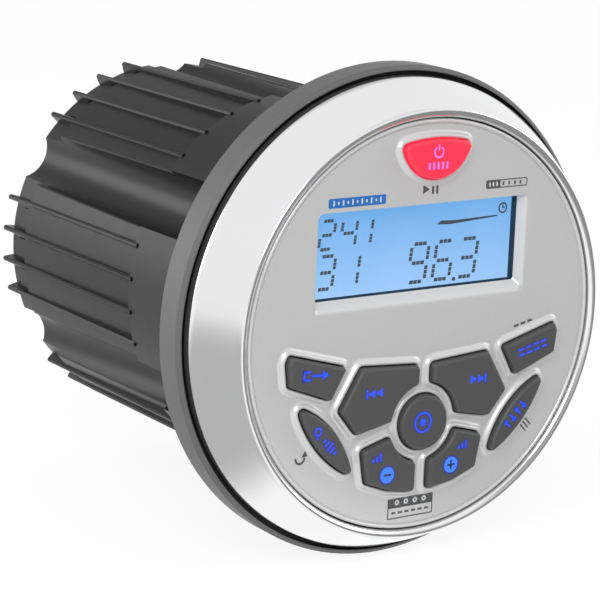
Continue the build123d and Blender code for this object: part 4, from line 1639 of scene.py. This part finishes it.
@dataclass(frozen=True)
class Studio:
    """Camera, lamps, floor and white surroundings. A lamp is its name, place, size and power."""

    azimuth: float = -34.29
    elevation: float = 13.38
    roll: float = 2.23
    distance: float = 533.02
    shift_right: float = -26.78
    shift_up: float = 5.706
    target_depth: float = -20.85
    lens: float = 149.97
    sensor: float = 36.0
    near: float = 0.01
    far: float = 20.0
    floor_height: float = -54.6
    floor_low: Colour = (0.90, 0.90, 0.90)
    floor_high: Colour = (0.93, 0.93, 0.93)
    floor_share: float = 0.80
    floor_glow: float = 1.10
    floor_size: float = 6.0
    floor_mottle: float = 3.0
    floor_roughness: float = 0.9
    soft_strength: float = 0.50
    lamps: tuple[tuple[str, Colour, float, float], ...] = (
        ("key_lamp", (-0.55, -0.60, 0.55), 0.55, 4.2),
        ("fill_lamp", (0.85, -0.35, 0.30), 0.60, 1.4),
        ("side_lamp", (-0.60, 0.58, 0.20), 0.50, 1.9),
    )
    shades: tuple[Shade, ...] = (
        Shade(37, -14, 0.28, 20, 42),
        Shade(-94, -28, 0.50, 14, 30),
        Shade(170, 35, 0.55, 15, 36),
        Shade(-8, 20, 0.45, 14, 30),
    )

    def camera(self) -> None:
        """Puts the camera where the photograph was taken from."""
        around, lean = math.radians(self.azimuth), math.radians(self.roll)
        back = towards(self.azimuth, self.elevation)
        level = Vector((math.cos(around), math.sin(around), 0))
        upright = back.cross(level)
        right = math.cos(lean) * level + math.sin(lean) * upright
        up = -math.sin(lean) * level + math.cos(lean) * upright
        place = (back * self.distance + right * self.shift_right + up * self.shift_up) * MM
        place.y += self.target_depth * MM
        data = bpy.data.cameras.new("photo_camera")
        data.lens, data.sensor_width = self.lens, self.sensor
        data.clip_start, data.clip_end = self.near, self.far
        camera = bpy.data.objects.new("photo_camera", data)
        camera.matrix_world = Matrix.Translation(place) @ Matrix((right, up, back)).transposed().to_4x4()
        bpy.context.scene.collection.objects.link(camera)
        bpy.context.scene.camera = camera

    def shaded(self, graph: Graph, glossy: Value, direction: Socket) -> Value:
        """How dark the surroundings look in a reflection.

        Args:
            graph: the graph that gets the nodes.
            glossy: 1 on glossy rays.
            direction: the direction from the stereo.

        Returns:
            More than 0 in a shade, and 0 elsewhere and on other rays.
        """
        fades = []
        for shade in self.shades:
            inputs = {0: direction, 1: towards(shade.azimuth, shade.elevation)}
            nearness = graph.value("ShaderNodeVectorMath", {"operation": "DOT_PRODUCT"}, inputs, "Value")
            fades.append(graph.value("ShaderNodeMapRange", {"interpolation_type": "SMOOTHSTEP"}, {
                "Value": nearness,
                "From Min": math.cos(math.radians(shade.outer)),
                "From Max": math.cos(math.radians(shade.inner)),
                "To Min": 1.0,
                "To Max": shade.level,
            }))
        return glossy * (1.0 - reduce(Value.__mul__, fades))

    def surroundings(self) -> None:
        """White world to the camera, shaded in reflections, and a plain pale light on the object."""
        world = bpy.data.worlds.new("studio")
        world.use_nodes = True
        sky = Graph(world.node_tree)
        sky.tree.nodes.clear()
        camera, glossy, through = sky.rays()
        direction = sky.node("ShaderNodeTexCoord", {}, {}).outputs["Generated"]
        strengths = (self.soft_strength, 1.0, 0.0)
        soft, bright, dark = (sky.white("ShaderNodeBackground", strength) for strength in strengths)
        seen = sky.blended(self.shaded(sky, glossy, direction), bright, dark)
        light = sky.blended((camera + glossy + through).clamped(), soft, seen)
        sky.node("ShaderNodeOutputWorld", {}, {0: light})
        bpy.context.scene.world = world

    def floor(self) -> None:
        """Pale floor under the stereo."""
        Bench.clear()
        bpy.ops.mesh.primitive_plane_add(size=self.floor_size, location=(0, 0, self.floor_height * MM))
        floor = Bench.settle(Bench.named("floor"))
        surface = Surface("floor_paint", Roughness=self.floor_roughness, Specular_IOR_Level=0.0)
        mottle = surface.noise(self.floor_mottle)
        surface.coat(Base_Color=surface.mixed(mottle, self.floor_low, self.floor_high))
        camera, glossy, through = surface.rays()
        inputs = {0: surface.coordinates()}
        direction = surface.node("ShaderNodeVectorMath", {"operation": "NORMALIZE"}, inputs).outputs[0]
        bright, dark = (surface.white("ShaderNodeEmission", glow) for glow in (self.floor_glow, 0.0))
        seen = surface.blended(self.shaded(surface, glossy, direction), bright, dark)
        share = ((camera + through) * self.floor_share + glossy).clamped()
        output = next(node for node in surface.tree.nodes if node.type == "OUTPUT_MATERIAL")
        surface.feed(output.inputs["Surface"], surface.blended(share, surface.shader.outputs[0], seen))
        floor.data.materials.append(surface.material)

    def light(self) -> None:
        """Hangs the soft lamps."""
        for name, place, size, power in self.lamps:
            data = bpy.data.lights.new(name, "AREA")
            data.shape = "DISK"
            data.size, data.energy = size, power
            lamp = bpy.data.objects.new(name, data)
            lamp.location = place
            lamp.rotation_mode = "QUATERNION"
            lamp.rotation_quaternion = Vector(place).to_track_quat("Z", "Y")
            bpy.context.scene.collection.objects.link(lamp)

    def build(self) -> None:
        """Sets up the studio."""
        self.camera()
        self.surroundings()
        self.floor()
        self.light()
        bpy.context.scene.view_settings.view_transform = "Standard"


def main() -> None:
    """Builds the stereo's visible pieces round the frame."""
    logging.basicConfig(level=logging.INFO, format="%(message)s")
    Bench.clear()
    Studio().build()
    Body().build()
    TrimRing().build(Plating().made(), Finish("skirt_grey", (0.06, 0.06, 0.061), 0.4).made())
    keys = Keys()
    soft_touch = Finish("key_grey", (0.075, 0.075, 0.077), 0.5, mottle=0.05, grain_height=0.01)
    red = Glow("lit_red_key", (1.0, 0.035, 0.085), 0.66, (0.45, 0.012, 0.03), 0.3, 0.12)
    keys.build(soft_touch.made(), red.made())
    Face(keys).build(SilverPaint().made())
    WindowParts().build(RUBBER.made(), TIN.made())
    Legends().build(
        blue=Glow("blue_sign", (0.025, 0.085, 1.0), 0.95, (0.01, 0.02, 0.12), spread=0.1).made(),
        pale=Glow("pale_blue_disc", (0.045, 0.22, 1.0), 0.95, (0.02, 0.06, 0.2), spread=0.15).made(),
        halo=Glow("blue_glow", (0.02, 0.035, 0.6), 0.40, (0.03, 0.03, 0.12), spread=0.3).made(),
        violet=Glow("violet_sign", (0.55, 0.20, 0.85), 0.8, (0.4, 0.1, 0.5)).made(),
        dark=Finish("dark_mark", (0.02, 0.02, 0.05), 0.5).made(),
    )
    ink = Finish("display_ink", (0.06, 0.07, 0.075), 0.6, specular=0.2)
    Display().build(ink.made(), Backlight().made())
    Prints().build(
        grey=Finish("grey_ink", (0.085, 0.085, 0.085), 0.5).made(),
        blue=Finish("blue_ink", (0.008, 0.16, 0.52), 0.45).made(),
        white=Finish("white_ink", (0.72, 0.74, 0.76), 0.5).made(),
    )


if __name__ == "__main__":
    main()
